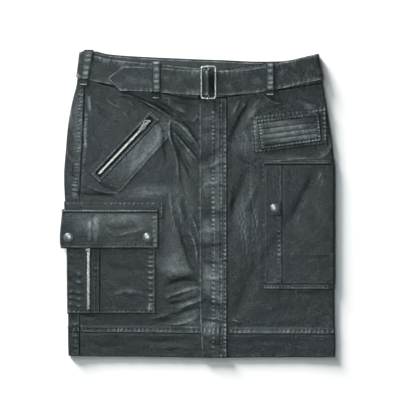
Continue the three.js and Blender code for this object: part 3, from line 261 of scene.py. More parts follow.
# Creases of the front by their places in the picture: start, middle, end, half width, height. Raised ones also get a
# painted highlight and sunken ones painted shade.
CREASES = [
    (118, 95, 140, 100, 171, 118, 2.4, 1.9), (171.5, 120, 169, 131, 174, 150, 1.9, 1.7),
    (174, 150, 177.5, 166, 178, 184, 2.0, 1.0), (128, 95.5, 156, 104, 182, 121, 4.6, -1.9),
    (170, 110, 186, 122, 200, 142, 4.8, -1.65), (172, 121, 186, 131, 199, 149, 2.2, 1.9),
    (172, 127, 184, 140, 199, 157, 3.2, -1.5), (173, 131, 184, 145, 199, 163.5, 2.0, 1.7),
    (175, 140, 183, 158, 192, 178, 4.2, -1.3), (163, 128, 165, 146, 168, 166, 3.4, -1.0),
    (171, 103, 176, 115, 191, 122, 1.9, 1.0), (191, 122, 195.5, 120, 198, 114, 1.7, 1.0),
    (172, 100.5, 184, 103, 197, 106, 2.4, -1.2), (176, 97, 187, 98.5, 197, 101, 1.6, 0.8),
    (180, 107, 188, 110, 198, 111, 2.4, -0.8), (132, 97, 142, 104, 155, 113, 1.8, -0.8),
    (107, 99, 112, 104, 121, 108, 2.2, 0.9), (128, 102, 132, 104.5, 135, 108, 1.7, 0.9),
    (124, 113, 126, 115, 129, 118, 1.7, 0.9), (97, 103, 102, 112, 112, 118, 3.0, -0.6),
    (137, 94, 150, 101, 160, 107, 1.8, 0.6), (96, 100, 99, 105, 105, 109, 2.0, 0.6),
    (170, 192, 172, 211, 175.5, 231, 1.5, 1.0), (178, 218, 186, 246, 194, 272, 4.6, -1.2),
    (188, 230, 195, 245, 197, 264, 2.4, 1.1), (190, 213, 196, 228, 199, 241, 2.0, 0.9),
    (182, 196, 186, 214, 190, 232, 3.4, -0.8), (176, 198, 180, 212, 181, 226, 1.8, 0.6),
    (164, 289, 181, 281.5, 200, 283, 3.8, -1.15), (160, 272, 176, 268, 197, 272, 8.0, 0.3),
    (165, 297.5, 184, 291, 200, 286.5, 3.2, 1.2), (169, 305, 184, 301.5, 200, 296, 3.0, -0.8),
    (180, 308, 190, 304, 200, 300.5, 2.6, 0.9), (172, 318.5, 187, 311, 200, 307.5, 3.8, -1.1),
    (155, 322, 165, 321.5, 174, 319, 2.6, -0.9), (165, 324.5, 184, 322.5, 199, 315.5, 3.0, 1.0),
    (150, 318, 162, 316, 172, 312, 2.4, 0.6), (168, 306, 172, 304, 180, 305, 2.2, -0.6),
    (135, 188, 150, 188.5, 165, 190, 1.3, 0.5), (139, 193, 152, 194, 168, 194, 1.4, 0.45),
    (128, 198, 142, 197, 160, 198.5, 1.6, 0.35), (70, 195, 92, 196, 117, 197.5, 3.0, -1.2),
    (88, 184, 98, 191, 118, 193, 2.4, 0.8), (80, 315, 88, 317, 97, 317, 2.6, -0.9),
    (85.5, 121, 85, 135, 87.5, 149, 2.2, 1.1), (89, 96, 90, 103, 91, 112, 2.2, 1.0),
    (66, 150, 70, 158, 76, 162, 2.6, 0.6), (68, 172, 74, 178, 80, 186, 2.4, -0.6),
    (253, 98, 242, 116, 230, 143, 5.0, -1.5), (262, 103, 253, 113, 245, 127, 5.0, 0.6),
    (262, 98, 257, 103, 252, 109, 2.4, 0.5), (240, 99, 236, 108, 232, 117, 2.0, 0.8),
    (246, 103, 243, 108, 240, 113, 2.0, 0.8), (266, 96, 274, 103, 290, 104, 2.6, 0.8),
    (268, 108, 278, 107, 290, 101, 2.8, -0.7), (296, 98, 304, 104, 318, 106, 3.0, 0.5),
    (251, 168, 241, 190, 231, 212, 6.5, -1.0), (257, 182, 250, 196, 242, 212, 5.0, 0.35),
    (258, 190, 254, 204, 250, 214, 3.2, -0.4), (320, 164, 305, 194, 290, 222, 9.5, -1.2),
    (314, 186, 304, 204, 294, 226, 6.0, 0.5), (292, 214, 276, 242, 255, 272, 10.0, -0.8),
    (256, 268, 246, 290, 234, 318, 9.0, -0.8),
    (262, 276, 254, 292, 247, 306, 5.0, 0.25), (317, 185, 319.5, 178, 322, 171, 1.6, 0.7),
    (322, 188, 320, 184, 318, 181, 1.4, 0.5), (232, 319, 236, 321, 241, 323, 2.4, 1.1),
    (300, 304, 280, 309, 262, 320, 7.0, -0.4), (316, 312, 296, 316, 276, 322, 6.0, 0.25),
    (104, 262, 120, 270, 140, 268, 6.0, -0.6), (108, 298, 124, 291, 145, 294, 6.0, 0.6),
    (104, 224, 120, 229, 142, 223, 6.0, -0.6), (112, 236, 128, 233, 146, 228, 4.0, 0.5),
    (200, 160, 211, 157, 224, 146, 5.4, -1.25), (201, 133, 213, 131, 228, 134, 4.0, -0.9),
    (201, 168, 213, 165, 227, 158, 3.6, 0.8), (200, 215, 214, 215, 229, 214, 4.6, -0.85),
    (200, 248, 214, 247, 229, 245, 4.6, -0.85), (200, 231, 214, 231, 228, 230, 4.0, 0.6),
    (200, 303, 214, 306, 229, 309, 6.4, -0.9), (200, 316, 212, 318, 226, 320, 3.0, 0.6),
    (202, 186, 213, 183, 227, 184, 3.4, 0.6), (202, 274, 214, 279, 228, 276, 4.0, 0.7),
    (203, 262, 214, 264, 228, 262, 3.0, -0.6), (202, 120, 210, 119, 224, 121, 3.0, 0.5),
    (205, 338, 212, 344, 224, 346, 3.6, -0.6), (130, 338, 160, 342, 192, 339, 4.6, -0.6),
    (160, 350, 176, 346, 194, 349, 4.0, 0.4), (88, 342, 104, 346, 124, 344, 4.4, -0.45),
    (240, 345, 270, 341, 310, 346, 4.6, -0.5), (84, 168, 96, 162, 104, 148, 3.6, -0.7),
    (92, 130, 100, 140, 104, 152, 4.0, -0.45), (266, 163, 290, 160, 316, 158, 2.4, 0.7),
    (316, 158, 328, 152, 332, 136, 2.4, 0.9), (240, 158, 252, 162, 262, 158, 3.0, -0.8),
    (300, 262, 316, 258, 334, 262, 3.6, -0.5), (286, 284, 300, 290, 326, 288, 4.0, 0.4)]
CREASES = [(curve(photo(a, b), photo(c, d), photo(e, f)), w, h) for a, b, c, d, e, f, w, h in CREASES]
# Rubbed places with painted sheen, and painted shade where the amount is below zero (such as the shadow under the
# buckle), by the picture: middle, half sizes, turn in degrees, amount.
WEAR_AND_PAINTED_LIGHT = [
    (143, 152, 12, 30, -43, 0.36), (158, 132, 8, 12, -40, 0.3), (150, 150, 4, 26, -43, 0.22),
    (290, 132, 30, 11, -9, 0.44), (276, 137, 14, 6, -9, 0.22), (112, 222, 46, 12, 0, 0.26), (90, 224, 1.7, 5, 0, 0.7),
    (96.5, 229, 2.6, 13, 0, 0.6), (90, 236, 1.5, 6, 0, 0.3), (128, 218, 16, 6, 0, 0.16), (218, 175, 4.5, 58, 0, 0.3),
    (219, 285, 4.5, 40, 0, 0.36), (208, 101.8, 8, 1.6, 0, -1.2), (207, 182, 5, 15, 0, 0.24),
    (207, 231, 5, 12, 0, 0.36), (208, 278, 5, 18, 0, 0.38), (207, 128, 5, 18, 0, 0.16), (210, 328, 7, 8, 0, 0.4),
    (214.4, 262, 0.8, 64, 0, 0.45), (188, 132, 9, 14, 45, 0.24), (178, 112, 8, 4, 35, 0.2),
    (186, 160, 6, 16, 0, 0.16), (262, 103, 6, 4, -20, 0.12), (180, 205, 14, 24, -8, 0.15),
    (172, 250, 14, 26, 0, 0.15), (175, 262, 18, 13, 4, 0.17), (182, 272, 12, 4, 6, 0.16), (190, 290, 9, 3, 14, 0.36),
    (188, 306, 12, 16, 0, 0.26), (192, 325, 9, 3, 12, 0.4), (152, 190, 19, 6, 0, 0.24), (136, 194, 24, 5, 0, 0.14),
    (85.5, 135, 2, 14, 0, 0.5), (90, 104, 2, 8, 4, 0.5), (78, 140, 4.5, 54, 4, 0.2), (70, 118, 3, 10, 6, 0.3),
    (176, 112, 10, 8, 40, 0.14), (249, 112, 3.2, 15, 30, 0.16), (246, 142, 14, 13, 0, 0.18),
    (240, 215, 10, 36, 10, 0.1), (306, 212, 18, 26, 0, 0.12), (320, 178, 2.4, 7, 20, 0.35), (309, 110, 4, 5, 30, 0.4),
    (286, 158, 30, 4, -4, 0.16), (255, 128, 4, 12, 0, 0.24), (320, 142, 4, 16, 10, 0.2), (150, 307, 2.6, 2.6, 0, 0.8),
    (200, 330.5, 120, 3.4, 0, 0.2), (286, 330.5, 50, 3, 0, 0.22), (232, 110, 5, 12, 30, 0.12),
    (112, 168, 8, 12, 40, 0.06), (110, 112, 20, 12, 20, 0.06), (290, 185, 24, 14, 0, 0.06),
    (273, 280, 7, 16, 0, 0.12), (290, 304, 44, 12, 0, -0.2), (285, 344, 50, 9, 0, -0.22), (98, 290, 14, 30, 0, -0.16),
    (130, 343, 60, 9, 0, -0.1), (250, 262, 12, 20, 30, -0.2), (96, 280, 10, 36, 0, -0.16),
    (300, 205, 10, 30, 32, -0.12), (70, 250, 4, 50, 0, -0.1), (104, 190, 12, 8, 20, -0.12), (207, 157, 9, 6, 0, -0.3),
    (207, 303, 9, 6, 0, -0.1), (214, 248, 14, 4, 0, -0.12), (214, 214, 14, 4, 0, -0.12), (188, 103, 12, 4, 8, -0.2)]
# Fine upright ripples: middle in the picture, half sizes in mm, pitch and height.
RIPPLES = [
    (243, 138, 19, 30, 5.0, 0.26), (248, 225, 21, 62, 5.8, 0.36), (187, 205, 14, 40, 5.0, 0.16),
    (118, 205, 30, 9, 6.0, 0.1), (300, 300, 40, 12, 7.0, 0.1)]


def hip(along, below):
    """A place on the front from one along and below the slanted zip."""
    c, s = math.cos(math.radians(HIP_TURN)), math.sin(math.radians(HIP_TURN))
    return -157.5 + c * along + s * below, 47.8 + s * along - c * below


PEN = [(90, 80.5), (206.8, 95.7), (204.5, 153.5), (86, 140.5)]
PEN_FLAP = [(100.4, 86.1), (197.7, 99.7), (193.2, 146.4), (94.3, 134.6)]


def inset(corners, across_, along):
    """A closed line inside a four-cornered piece, so far from its sides and from its long edges."""
    (x0, y0), (x1, y1), (x2, y2), (x3, y3) = corners
    a, b = across_ / math.hypot(x1 - x0, y1 - y0), along / math.hypot(x3 - x0, y3 - y0)
    place = lambda s, t: (mix(mix(x0, x1, s), mix(x3, x2, s), t), mix(mix(y0, y1, s), mix(y3, y2, s), t))
    return [place(a, b), place(1 - a, b), place(1 - a, 1 - b), place(a, 1 - b), place(a, b)]


across = list(range(-200, 226, 12))
# Stitched seams that pucker the cloth: a line, height, reach, pitch, and how much wear and painted highlight they put
# on the pucker bumps.
SEAMS = [
    ([(SIDE_SEAM(y) - mix(8.2, 4.6, (y - 16) / 174), y) for y in range(16, 190, 10)], 0.5, 8.0, 5.6, 1.3),
    ([(SIDE_SEAM(y) - 6.2, y) for y in (-246, -218, -192)], 0.3, 6.0, 8.5, 0.5),
    ([(SIDE_SEAM(y) + 3.6, y) for y in range(54, 150, 8)], 0.34, 4.4, 5.0, 1.1),
    ([(x, hem_seam(x) + 5.0) for x in across], 0.34, 5.0, 7.0, 0.7),
    ([(x, hem_seam(x) + 1.2) for x in across], 0.1, 1.6, 5.0, 0.5),
    ([(x, HEM(x, 1) + 1.5) for x in across], 0.14, 3.0, 9.0, 0.35),
    ([(43.2, y) for y in range(-244, 166, 12)], 0.28, 4.0, 7.0, 1.05),
    ([(37.0, y) for y in range(-244, 166, 12)], 0.2, 3.0, 7.0, 0.6),
    ([(24.9, y) for y in range(-244, 160, 12)], 0.2, 3.8, 7.2, 1.6),
    ([(mix(6.9, 3.3, float(smooth(y, -245, -150))), y) for y in range(-244, 166, 12)], 0.2, 3.0, 13.0, 0.4),
    ([(x, waist_seam(x) + 2) for x in range(-180, 196, 10)], 0.3, 5.0, 8.0, 0.5),
    ([hip(-8, -8.2), hip(128, -8.2)], 0.14, 2.8, 5.0, 1.0), ([hip(-8, 8.2), hip(128, 8.2)], 0.14, 2.8, 5.0, 1.0),
    ([hip(-7.4, -8), hip(-7.4, 8)], 0.14, 2.8, 5.0, 1.0), ([hip(127, -8), hip(127, 8)], 0.14, 2.8, 5.0, 1.0),
    ([hip(0, 43), hip(118, 39)], 0.16, 3.0, 7.5, 0.4), ([hip(-11, 12), hip(0, 43)], 0.2, 3.4, 7.0, 0.4),
    ([hip(126, 12), hip(118, 39)], 0.24, 3.4, 7.0, 0.5),
    ([(x, 0.5) for x in (-216, -57)], 0.26, 3.6, 7.5, 0.55), ([(-57, 1.5), (-57, -22)], 0.2, 3.0, 6.0, 0.6),
    ([(-67.5, -14), (-67.5, -67)], 0.22, 3.0, 5.6, 0.6), ([(-218, -66), (-66, -66)], 0.22, 3.0, 6.0, 0.5),
    ([(-75.5, -74), (-75.5, -172)], 0.42, 6.0, 8.5, 1.2), ([(-216, -171.5), (-70, -171.5)], 0.26, 3.4, 8.0, 0.5),
    ([(-190, -96), (-190, -168)], 0.45, 6.0, 13.0, 0.6), ([(-164, -75), (-164, -170)], 0.3, 4.0, 9.0, 0.6),
    ([(-203, -80), (-203, -168)], 0.3, 4.0, 11.0, 0.6), ([(-156.8, -74), (-156.8, -172)], 0.1, 2.0, 9.0, 0.3),
    (inset(PEN, 2.6, 2.6), 0.3, 4.4, 6.5, 1.4), (inset(PEN_FLAP, 3.0, 3.4), 0.22, 3.6, 5.0, 1.7),
    ([(105, 67), (226, 67)], 0.14, 2.6, 5.6, 0.35), ([(105, -132.5), (226, -132.5)], 0.14, 2.6, 5.6, 0.6),
    ([(129.3, 60), (129.3, 5)], 0.26, 3.0, 7.2, 0.4), ([(129.3, -21), (129.3, -128)], 0.4, 3.6, 7.2, 1.1),
    ([(105.5, 64), (105.5, -130)], 0.2, 3.0, 8.0, 0.4),
    ([(135, -77.5), (226, -77.5)], 0.1, 3.0, 9.0, 0.25), ([(84, 83), (84, 8)], 0.3, 2.8, 7.0, 0.6),
    ([(93, 66), (93, 32)], 0.4, 4.0, 7.0, 0.9), ([(88, 140), (88, 84)], 0.2, 2.6, 6.0, 0.5)]
# Shallow creases on the hidden underside, by plan place.
UNDER_CREASES = [
    ([(-150, 150), (-96, 120), (-30, 112)], 6, -0.8), ([(-40, 168), (-10, 110), (0, 40)], 7, -0.8),
    ([(120, 160), (84, 110), (70, 40)], 6, -0.8), ([(-170, -60), (-100, -84), (-20, -80)], 7, -0.7),
    ([(30, -40), (60, -100), (70, -180)], 7, -0.8), ([(100, -120), (150, -104), (190, -60)], 5, -0.7),
    ([(-120, -180), (-60, -170), (-10, -182)], 5, -0.6), ([(150, 60), (120, 10), (130, -50)], 5, -0.6)]


def close_by(points, reach, u, y):
    """Where a net comes within reach of a line's box, and its distances there if it does."""
    p = np.array(points)
    m = (u > p[:, 0].min() - reach) & (u < p[:, 0].max() + reach)
    m &= (y > p[:, 1].min() - reach) & (y < p[:, 1].max() + reach)
    return m, nearest(points, u[m], y[m]) if m.any() else None


def detail(u, y, t, x):
    """Height of the fine creases and puckers on the tube, and the tone laid on the cloth with them: wear, painted
    highlights on crests and pucker bumps, and painted shade in troughs.
    """
    front = (t < 1.75) | (t > 4.25)
    h, wear_and_painted_light = np.zeros(u.shape), np.zeros(u.shape)
    h += 0.17 * crumple(u, y, 34, 3) + 0.07 * crumple(u, y, 13, 4) + 0.035 * crumple(u, y, 6, 5, 12)
    for points, width, height in CREASES:
        m, found = close_by(points, 3 * width, u, y)
        if not found:
            continue
        d, s, side, total = found
        taper = np.sin(PI * np.clip(s / total, 0, 1)) ** 0.7
        h[m] += height * taper * bell(d, 0, width * np.where(side > 0, 0.8, 1.3))
        # painted highlight along raised creases, painted shade along sunken ones
        if height > 0:
            lit = min(0.75 * height, 1.0) * taper * bell(d, 0, 0.55 * width)
            wear_and_painted_light[m] += lit * (0.7 + 0.4 * wobble(s * 0.35, 11))
        else:
            wear_and_painted_light[m] -= min(-0.42 * height, 0.8) * taper * bell(d, 0, 0.9 * width)
    for k, (points, height, reach, pitch, light) in enumerate(SEAMS):
        m, found = close_by(points, 3 * reach, u, y)
        if not found:
            continue
        d, s, side, total = found
        ends = smooth(np.minimum(s, total - s), -reach, 1.0)
        phase = 2 * PI * s / pitch + 1.7 * wobble(s * 0.09, 20 + k) + 0.5 * side * d / reach
        bump = (0.5 + 0.5 * np.sin(phase)) ** 1.6
        power = np.clip(0.7 + 0.6 * wobble(s * 0.045, 60 + k), 0.12, 1.4)
        fade = bell(d, 0, reach) * ends
        h[m] += 1.3 * height * fade * power * (1.5 * bump - 0.55) - 0.2 * bell(d, 0, 0.9)
        # painted highlight with wear on the pucker bumps
        near = bell(d, 0, 0.5 * reach) * ends
        wear_and_painted_light[m] += light * near * (1.25 * bump ** 1.5 * power - 0.12)
    # patches of wear and painted highlight, and painted shade where the amount is below zero
    for px, py, hx, hy, turn, amount in WEAR_AND_PAINTED_LIGHT:
        cx, cy = photo(px, py)
        c, s = math.cos(math.radians(turn)), math.sin(math.radians(turn))
        dx, dy = (u - cx) * c + (y - cy) * s, (y - cy) * c - (u - cx) * s
        far = (dx / (1.6 * hx)) ** 2 + (dy / (1.6 * hy)) ** 2
        wear_and_painted_light += amount * np.exp(-far ** 1.6) * (1 + 0.35 * wobble(dx * 0.35 + dy * 0.21, 41))
    for px, py, hx, hy, pitch, height in RIPPLES:
        cx, cy = photo(px, py)
        w = np.exp(-(((u - cx) / hx) ** 4) - ((y - cy) / hy) ** 4)
        ridge = np.sin(2 * PI * (u + 2.2 * wobble(y * 0.05, 31) + 0.12 * y) / pitch + 1.5 * wobble(y * 0.09, 32))
        uneven = 0.5 + 0.5 * wobble(u * 0.2 + y * 0.02, 33)
        h += w * height * ridge * uneven
        # painted highlight on the ripple crests
        wear_and_painted_light += 1.3 * height * w * np.clip(ridge, 0, 1) ** 2 * np.clip(0.5 + wobble(u * 0.3 + y * 0.04, 34), 0, 1.4)
    over = np.where(t < 3, t - 1, 5 - t)
    h *= (1 - smooth(over, 0.15, 0.7)) * (1 - 0.75 * smooth(y - waist_seam(x), 1, 5))
    below = np.zeros(u.shape)
    if (~front).any():
        for points, width, height in UNDER_CREASES:
            d, s, side, total = nearest(curve(*points), x, y)
            below += height * np.sin(PI * np.clip(s / total, 0, 1)) * bell(d, 0, width)
        from_fold = np.minimum(t - 2, 4 - t)
        below *= smooth(from_fold, 0.02, 0.2)
        below = np.maximum(below - 0.12 * (1 + crumple(x, y, 30, 8)) * smooth(from_fold, 0.0, 0.1), -1.0)
        below *= smooth(185 - y, 0, 30) * smooth(y + 208, 0, 20)
    under = (t >= 2) & (t <= 4)
    return np.where(under, below, np.where(front, h, 0)), np.where(front, np.clip(wear_and_painted_light, -1, 1.4), 0.1)


# ---------------------------------------------------------------- cloth shells
def steps(length, pitch, fine=(0.0, 0.12, 0.32, 0.62, 1.0), extra=()):
    """Shares of a length: even steps, with close ones at both ends for a rounded edge."""
    fine = [f for f in fine if f < length / 2]
    inner = np.linspace(fine[-1], length - fine[-1], max(2, int(round(length / pitch)) + 1))
    every = set(np.round(np.concatenate([fine, inner, length - np.array(fine), np.array(extra, float)]), 4).tolist())
    return np.array(sorted(e for e in every if 0 <= e <= length)) / length


def gaps(p, axis):
    """Distance run along one axis of a net, from its start."""
    d = np.linalg.norm(np.diff(p, axis=axis), axis=-1)
    return np.concatenate([np.zeros_like(np.take(d, [0], axis)), np.cumsum(d, axis)], axis)


def placed(name, data):
    obj = bpy.data.objects.new(name, data)
    bpy.context.collection.objects.link(obj)
    return obj


def make(name, points, faces, material, slot, node=None, attributes=(), smooth_faces=True):
    mesh = bpy.data.meshes.new(name)
    mesh.from_pydata((np.asarray(points) * MM).tolist(), [], faces if isinstance(faces, list) else faces.tolist())
    if smooth_faces:
        mesh.shade_smooth()
    for key, values in attributes:
        mesh.attributes.new(key, "FLOAT", "POINT").data.foreach_set("value", np.asarray(values, np.float32))
    obj = placed(name, mesh)
    mesh.materials.append(material)
    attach(obj, "skirt")
    if node:
        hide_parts(node)
    return obj


TOP = []  # cloth that stitches are dropped on, as (points, quads)


def shell(name, outer, inner, material, node, wear_and_painted_light, flat, slot="coated_cloth", looped=False, area=None,
          rests_on=(), lined=False):
    """A closed wall between two nets of points, as a sheet of cloth. Its inside is dull unless it is lined."""
    n, m = outer.shape[:2]
    i = np.arange(n if looped else n - 1)[:, None]
    j = np.arange(m - 1)[None, :]
    nxt = (i + 1) % n
    o = np.stack([i * m + j, nxt * m + j, nxt * m + j + 1, i * m + j + 1], -1).reshape(-1, 4)
    faces = [o, n * m + o[:, ::-1]]
    ii, nn = i[:, 0], nxt[:, 0]
    low = np.stack([n * m + ii * m, n * m + nn * m, nn * m, ii * m], -1)
    high = np.stack([ii * m + m - 1, nn * m + m - 1, n * m + nn * m + m - 1, n * m + ii * m + m - 1], -1)
    faces += [low, high]
    if not looped:
        jj = np.arange(m - 1)
        e = (n - 1) * m
        faces.append(np.stack([jj, jj + 1, n * m + jj + 1, n * m + jj], -1))
        faces.append(np.stack([e + jj + 1, e + jj, n * m + e + jj, n * m + e + jj + 1], -1))
    faces = np.concatenate(faces)
    points = np.concatenate([outer.reshape(-1, 3), inner.reshape(-1, 3)])
    a, b, c, d = (points[faces[:, k]] for k in range(4))
    if (np.cross(b - a, c - a) * a).sum() + (np.cross(c - a, d - a) * a).sum() < 0:
        faces = faces[:, ::-1]
    wear_and_painted_light = wear_and_painted_light.ravel()
    painted_light_and_wear = np.concatenate([wear_and_painted_light, wear_and_painted_light if lined else 0 * wear_and_painted_light - 0.3])
    obj = make(name, points, faces, material, slot, node=node, attributes=[("wear_and_painted_light", painted_light_and_wear)])
    TOP.append((points * MM, faces))


def rounded(base, radius, looped=False):
    """How full the wall is at each point of a net, less at its edges, and how near the edge it is."""
    far = gaps(base, 1)
    d = np.minimum(far, far[:, -1:] - far)
    if not looped:
        far = gaps(base, 0)
        d = np.minimum(d, np.minimum(far, far[-1:] - far))
    full = np.sqrt(np.clip(1 - (1 - np.clip(d / radius, 0, 1)) ** 2, 0, 1))
    return np.maximum(full, 0.12), d


def lay(name, u, y, inner, outer, material, radius=0.7, edge_highlight_and_wear=0.5, looped=False, painted_edge_shade=0.6, **more):
    """A cloth piece on the tube from the places of its net and the offsets of its two faces."""
    base, normal, t = skin(u, y)
    h, wear_and_painted_light = detail(u, y, t, base[..., 0])
    inner = inner(u, y) if callable(inner) else inner
    outer = outer(u, y) if callable(outer) else outer
    mid = (np.asarray(inner) + outer) / 2 + h
    half = (np.asarray(outer) - inner) / 2
    full, d = rounded(base, radius, looped)
    p_out = base + normal * (mid + half * full)[..., None]
    p_in = base + normal * (mid - half * full)[..., None]
    # a painted highlight with wear in a band just inside the edge, and painted shade along the edge itself
    edge = bell(d, 2.2, 0.9) * (0.6 + 0.6 * wobble((u + 1.7 * y) * 0.11, seed_of(name))) * edge_highlight_and_wear
    wear_and_painted_light = wear_and_painted_light + np.clip(edge, 0, 1) - painted_edge_shade * bell(d, 0, 1.2)
    shell(name, p_out, p_in, material, wear_and_painted_light=np.clip(wear_and_painted_light, -1, 1.5), looped=looped, **more)


def seed_of(name):
    """A seed of its own for each piece's uneven edge."""
    return sum((k + 1) * ord(c) for k, c in enumerate(name)) % 97


def spread(knots, y_shares, low, high):
    """Places of a net: knots are pairs of a line across (a function of y) and the steps up to it."""
    cols = []
    for k in range(1, len(knots)):
        shares = knots[k][1]
        for s in shares if k == 1 else shares[1:]:
            cols.append((k, s))
    u = np.zeros((len(cols), len(y_shares)))
    y = np.zeros_like(u)
    for i, (k, s) in enumerate(cols):
        line = lambda v, k=k, s=s: mix(np.asarray(knots[k - 1][0](v), float), knots[k][0](v), s)
        u0 = line(np.array(0.0))
        guess = mix(low(u0), high(u0), y_shares)
        u[i] = line(guess)
        y[i] = mix(low(u[i]), high(u[i]), y_shares)
    return u, y


# ---------------------------------------------------------------- materials
class Shade:
    """A material made of nodes, built up by short calls."""

    def __init__(self, name):
        self.material = bpy.data.materials.new(name)
        self.material.use_nodes = True
        self.nodes, self.links = self.material.node_tree.nodes, self.material.node_tree.links
        self.shader = self.nodes["Principled BSDF"]
        self.coord = self.add("TexCoord").outputs["Object"]

    def put(self, socket, value):
        """Fills a socket with a colour, a number or another node's output."""
        if isinstance(value, tuple):
            socket.default_value = (*value, 1)
        elif isinstance(value, (int, float)):
            socket.default_value = value
        else:
            self.links.new(value, socket)

    def add(self, kind, sockets=None, **settings):
        n = self.nodes.new("ShaderNode" + kind)
        for key, value in settings.items():
            setattr(n, key, value)
        for key, value in (sockets or {}).items():
            self.put(n.inputs[key], value)
        return n

    def noise(self, scale, detail_, rough=0.6):
        sockets = {"Vector": self.coord, "Scale": scale, "Detail": detail_, "Roughness": rough}
        return self.add("TexNoise", sockets).outputs["Fac"]

    def ramp(self, value, a, b, low=0.0, high=1.0):
        """Maps a to low and b to high, and keeps between them."""
        sockets = {"Value": value, "From Min": a, "From Max": b, "To Min": low, "To Max": high}
        return self.add("MapRange", sockets).outputs["Result"]

    def maths(self, kind, a, b):
        return self.add("Math", {0: a, 1: b}, operation=kind).outputs[0]

    def times(self, a, b):
        return self.maths("MULTIPLY", a, b)

    def plus(self, a, b):
        return self.maths("ADD", a, b)

    def mix(self, share, a, b):
        return self.add("Mix", data_type="RGBA", sockets={0: share, 6: a, 7: b}).outputs[2]

    def finish(self, colour, roughness, height, strength, distance):
        self.put(self.shader.inputs["Base Color"], colour)
        self.put(self.shader.inputs["Roughness"], roughness)
        bump = self.add("Bump", {"Strength": strength, "Distance": distance, "Height": height})
        self.links.new(bump.outputs[0], self.shader.inputs["Normal"])
        return self.material


def tinted(colour, *shares):
    """A colour times one number, or times three, one for each of its parts."""
    return tuple(c * k for c, k in zip(colour, shares if len(shares) == 3 else shares * 3))


def coated(name, dark, light, roughness, crinkle):
    """Coated cotton twill: a dark waxy film over a weave. Wear and painted highlight lighten it on seams, edges and
    crests, and painted shade darkens it in creases and along edges.
    """
    m = Shade(name)
    wear_and_painted_light = m.add("Attribute", attribute_name="wear_and_painted_light").outputs["Fac"]
    broad, middle, small = m.noise(16, 4), m.noise(85, 4, 0.62), m.noise(420, 3)
    tint = m.ramp(m.plus(m.times(broad, 0.6), m.times(middle, 0.4)), 0.36, 0.66)
    # the colour drifts between an olive and a blue cast
    deep = tinted(dark, 1.5)
    olive = m.mix(tint, tinted(dark, 1.0, 1.0, 0.86), tinted(deep, 1.0, 1.02, 0.9))
    blue = m.mix(tint, tinted(dark, 0.9, 0.97, 1.22), tinted(deep, 0.9, 0.98, 1.2))
    body = m.mix(m.ramp(m.noise(11, 2, 0.5), 0.4, 0.6), olive, blue)
    # painted highlight mixed with wear: per-point values above zero lighten the colour in speckled patches
    speckled_wear_and_light = m.times(wear_and_painted_light, m.ramp(small, 0.36, 0.62, 0.6, 1.35))
    wear_and_light_patches = m.times(speckled_wear_and_light, m.ramp(middle, 0.32, 0.6, 0.5, 1.15))
    body = m.mix(m.ramp(small, 0.52, 0.72, 0.0, 0.2), body, light)
    # painted shade: per-point values below zero darken the colour
    body = m.mix(m.ramp(wear_and_painted_light, -0.05, -1.0), body, tinted(dark, 0.45))
    colour = m.mix(m.ramp(wear_and_light_patches, 0.02, 1.1), body, light)
    rough = m.plus(m.ramp(middle, 0.3, 0.7, roughness - 0.09, roughness + 0.1), m.ramp(small, 0.3, 0.7, -0.1, 0.1))
    rough = m.maths("SUBTRACT", rough, m.ramp(wear_and_light_patches, 0.0, 1.0, 0.0, 0.11))
    m.shader.inputs["Specular IOR Level"].default_value = 0.5
    m.shader.inputs["Sheen Weight"].default_value = 0.03
    m.shader.inputs["Sheen Roughness"].default_value = 0.4
    # weave: fine diagonal ribs crossed by an uneven grain
    turned = m.add("Mapping", {"Vector": m.coord})
    turned.inputs["Rotation"].default_value = (0, 0, math.radians(38))
    twill = m.add("TexWave", {"Vector": turned.outputs[0], "Scale": 360.0, "Distortion": 1.5, "Detail": 1.0})
    shift = m.add("TexNoise", {"Vector": m.coord, "Scale": 60.0, "Detail": 2.0})
    scaled = m.add("VectorMath", {0: shift.outputs["Color"], "Scale": 0.012}, operation="SCALE")
    warped = m.add("VectorMath", {0: m.coord, 1: scaled.outputs[0]}, operation="ADD")
    cells = m.add("TexVoronoi", {"Vector": warped.outputs[0], "Scale": 150.0, "Randomness": 1.0},
                  feature="DISTANCE_TO_EDGE")
    cracks = m.ramp(cells.outputs["Distance"], 0.0, 0.12)
    height = m.times(middle, 0.9)
    for part, share in ((cracks, 0.10 * crinkle), (small, 0.26), (twill.outputs["Fac"], 0.06)):
        height = m.plus(height, m.times(part, share))
    return m.finish(colour, rough, height, crinkle, 0.0012)


def metal(name, colour, roughness, scratch=0.25, dark=None):
    m = Shade(name)
    fine, broad = m.noise(900, 3), m.noise(220, 3)
    tone = m.mix(m.ramp(broad, 0.35, 0.68), dark or tinted(colour, 0.62), colour)
    m.shader.inputs["Metallic"].default_value = 1.0
    return m.finish(tone, m.ramp(fine, 0.3, 0.7, roughness - 0.07, roughness + 0.12), fine, scratch, 0.0001)


def plain(name, colour, roughness, scale):
    m = Shade(name)
    fine = m.noise(scale, 3)
    return m.finish(m.mix(m.ramp(fine, 0.3, 0.7), tinted(colour, 0.7), colour), roughness, fine, 0.5, 0.0003)


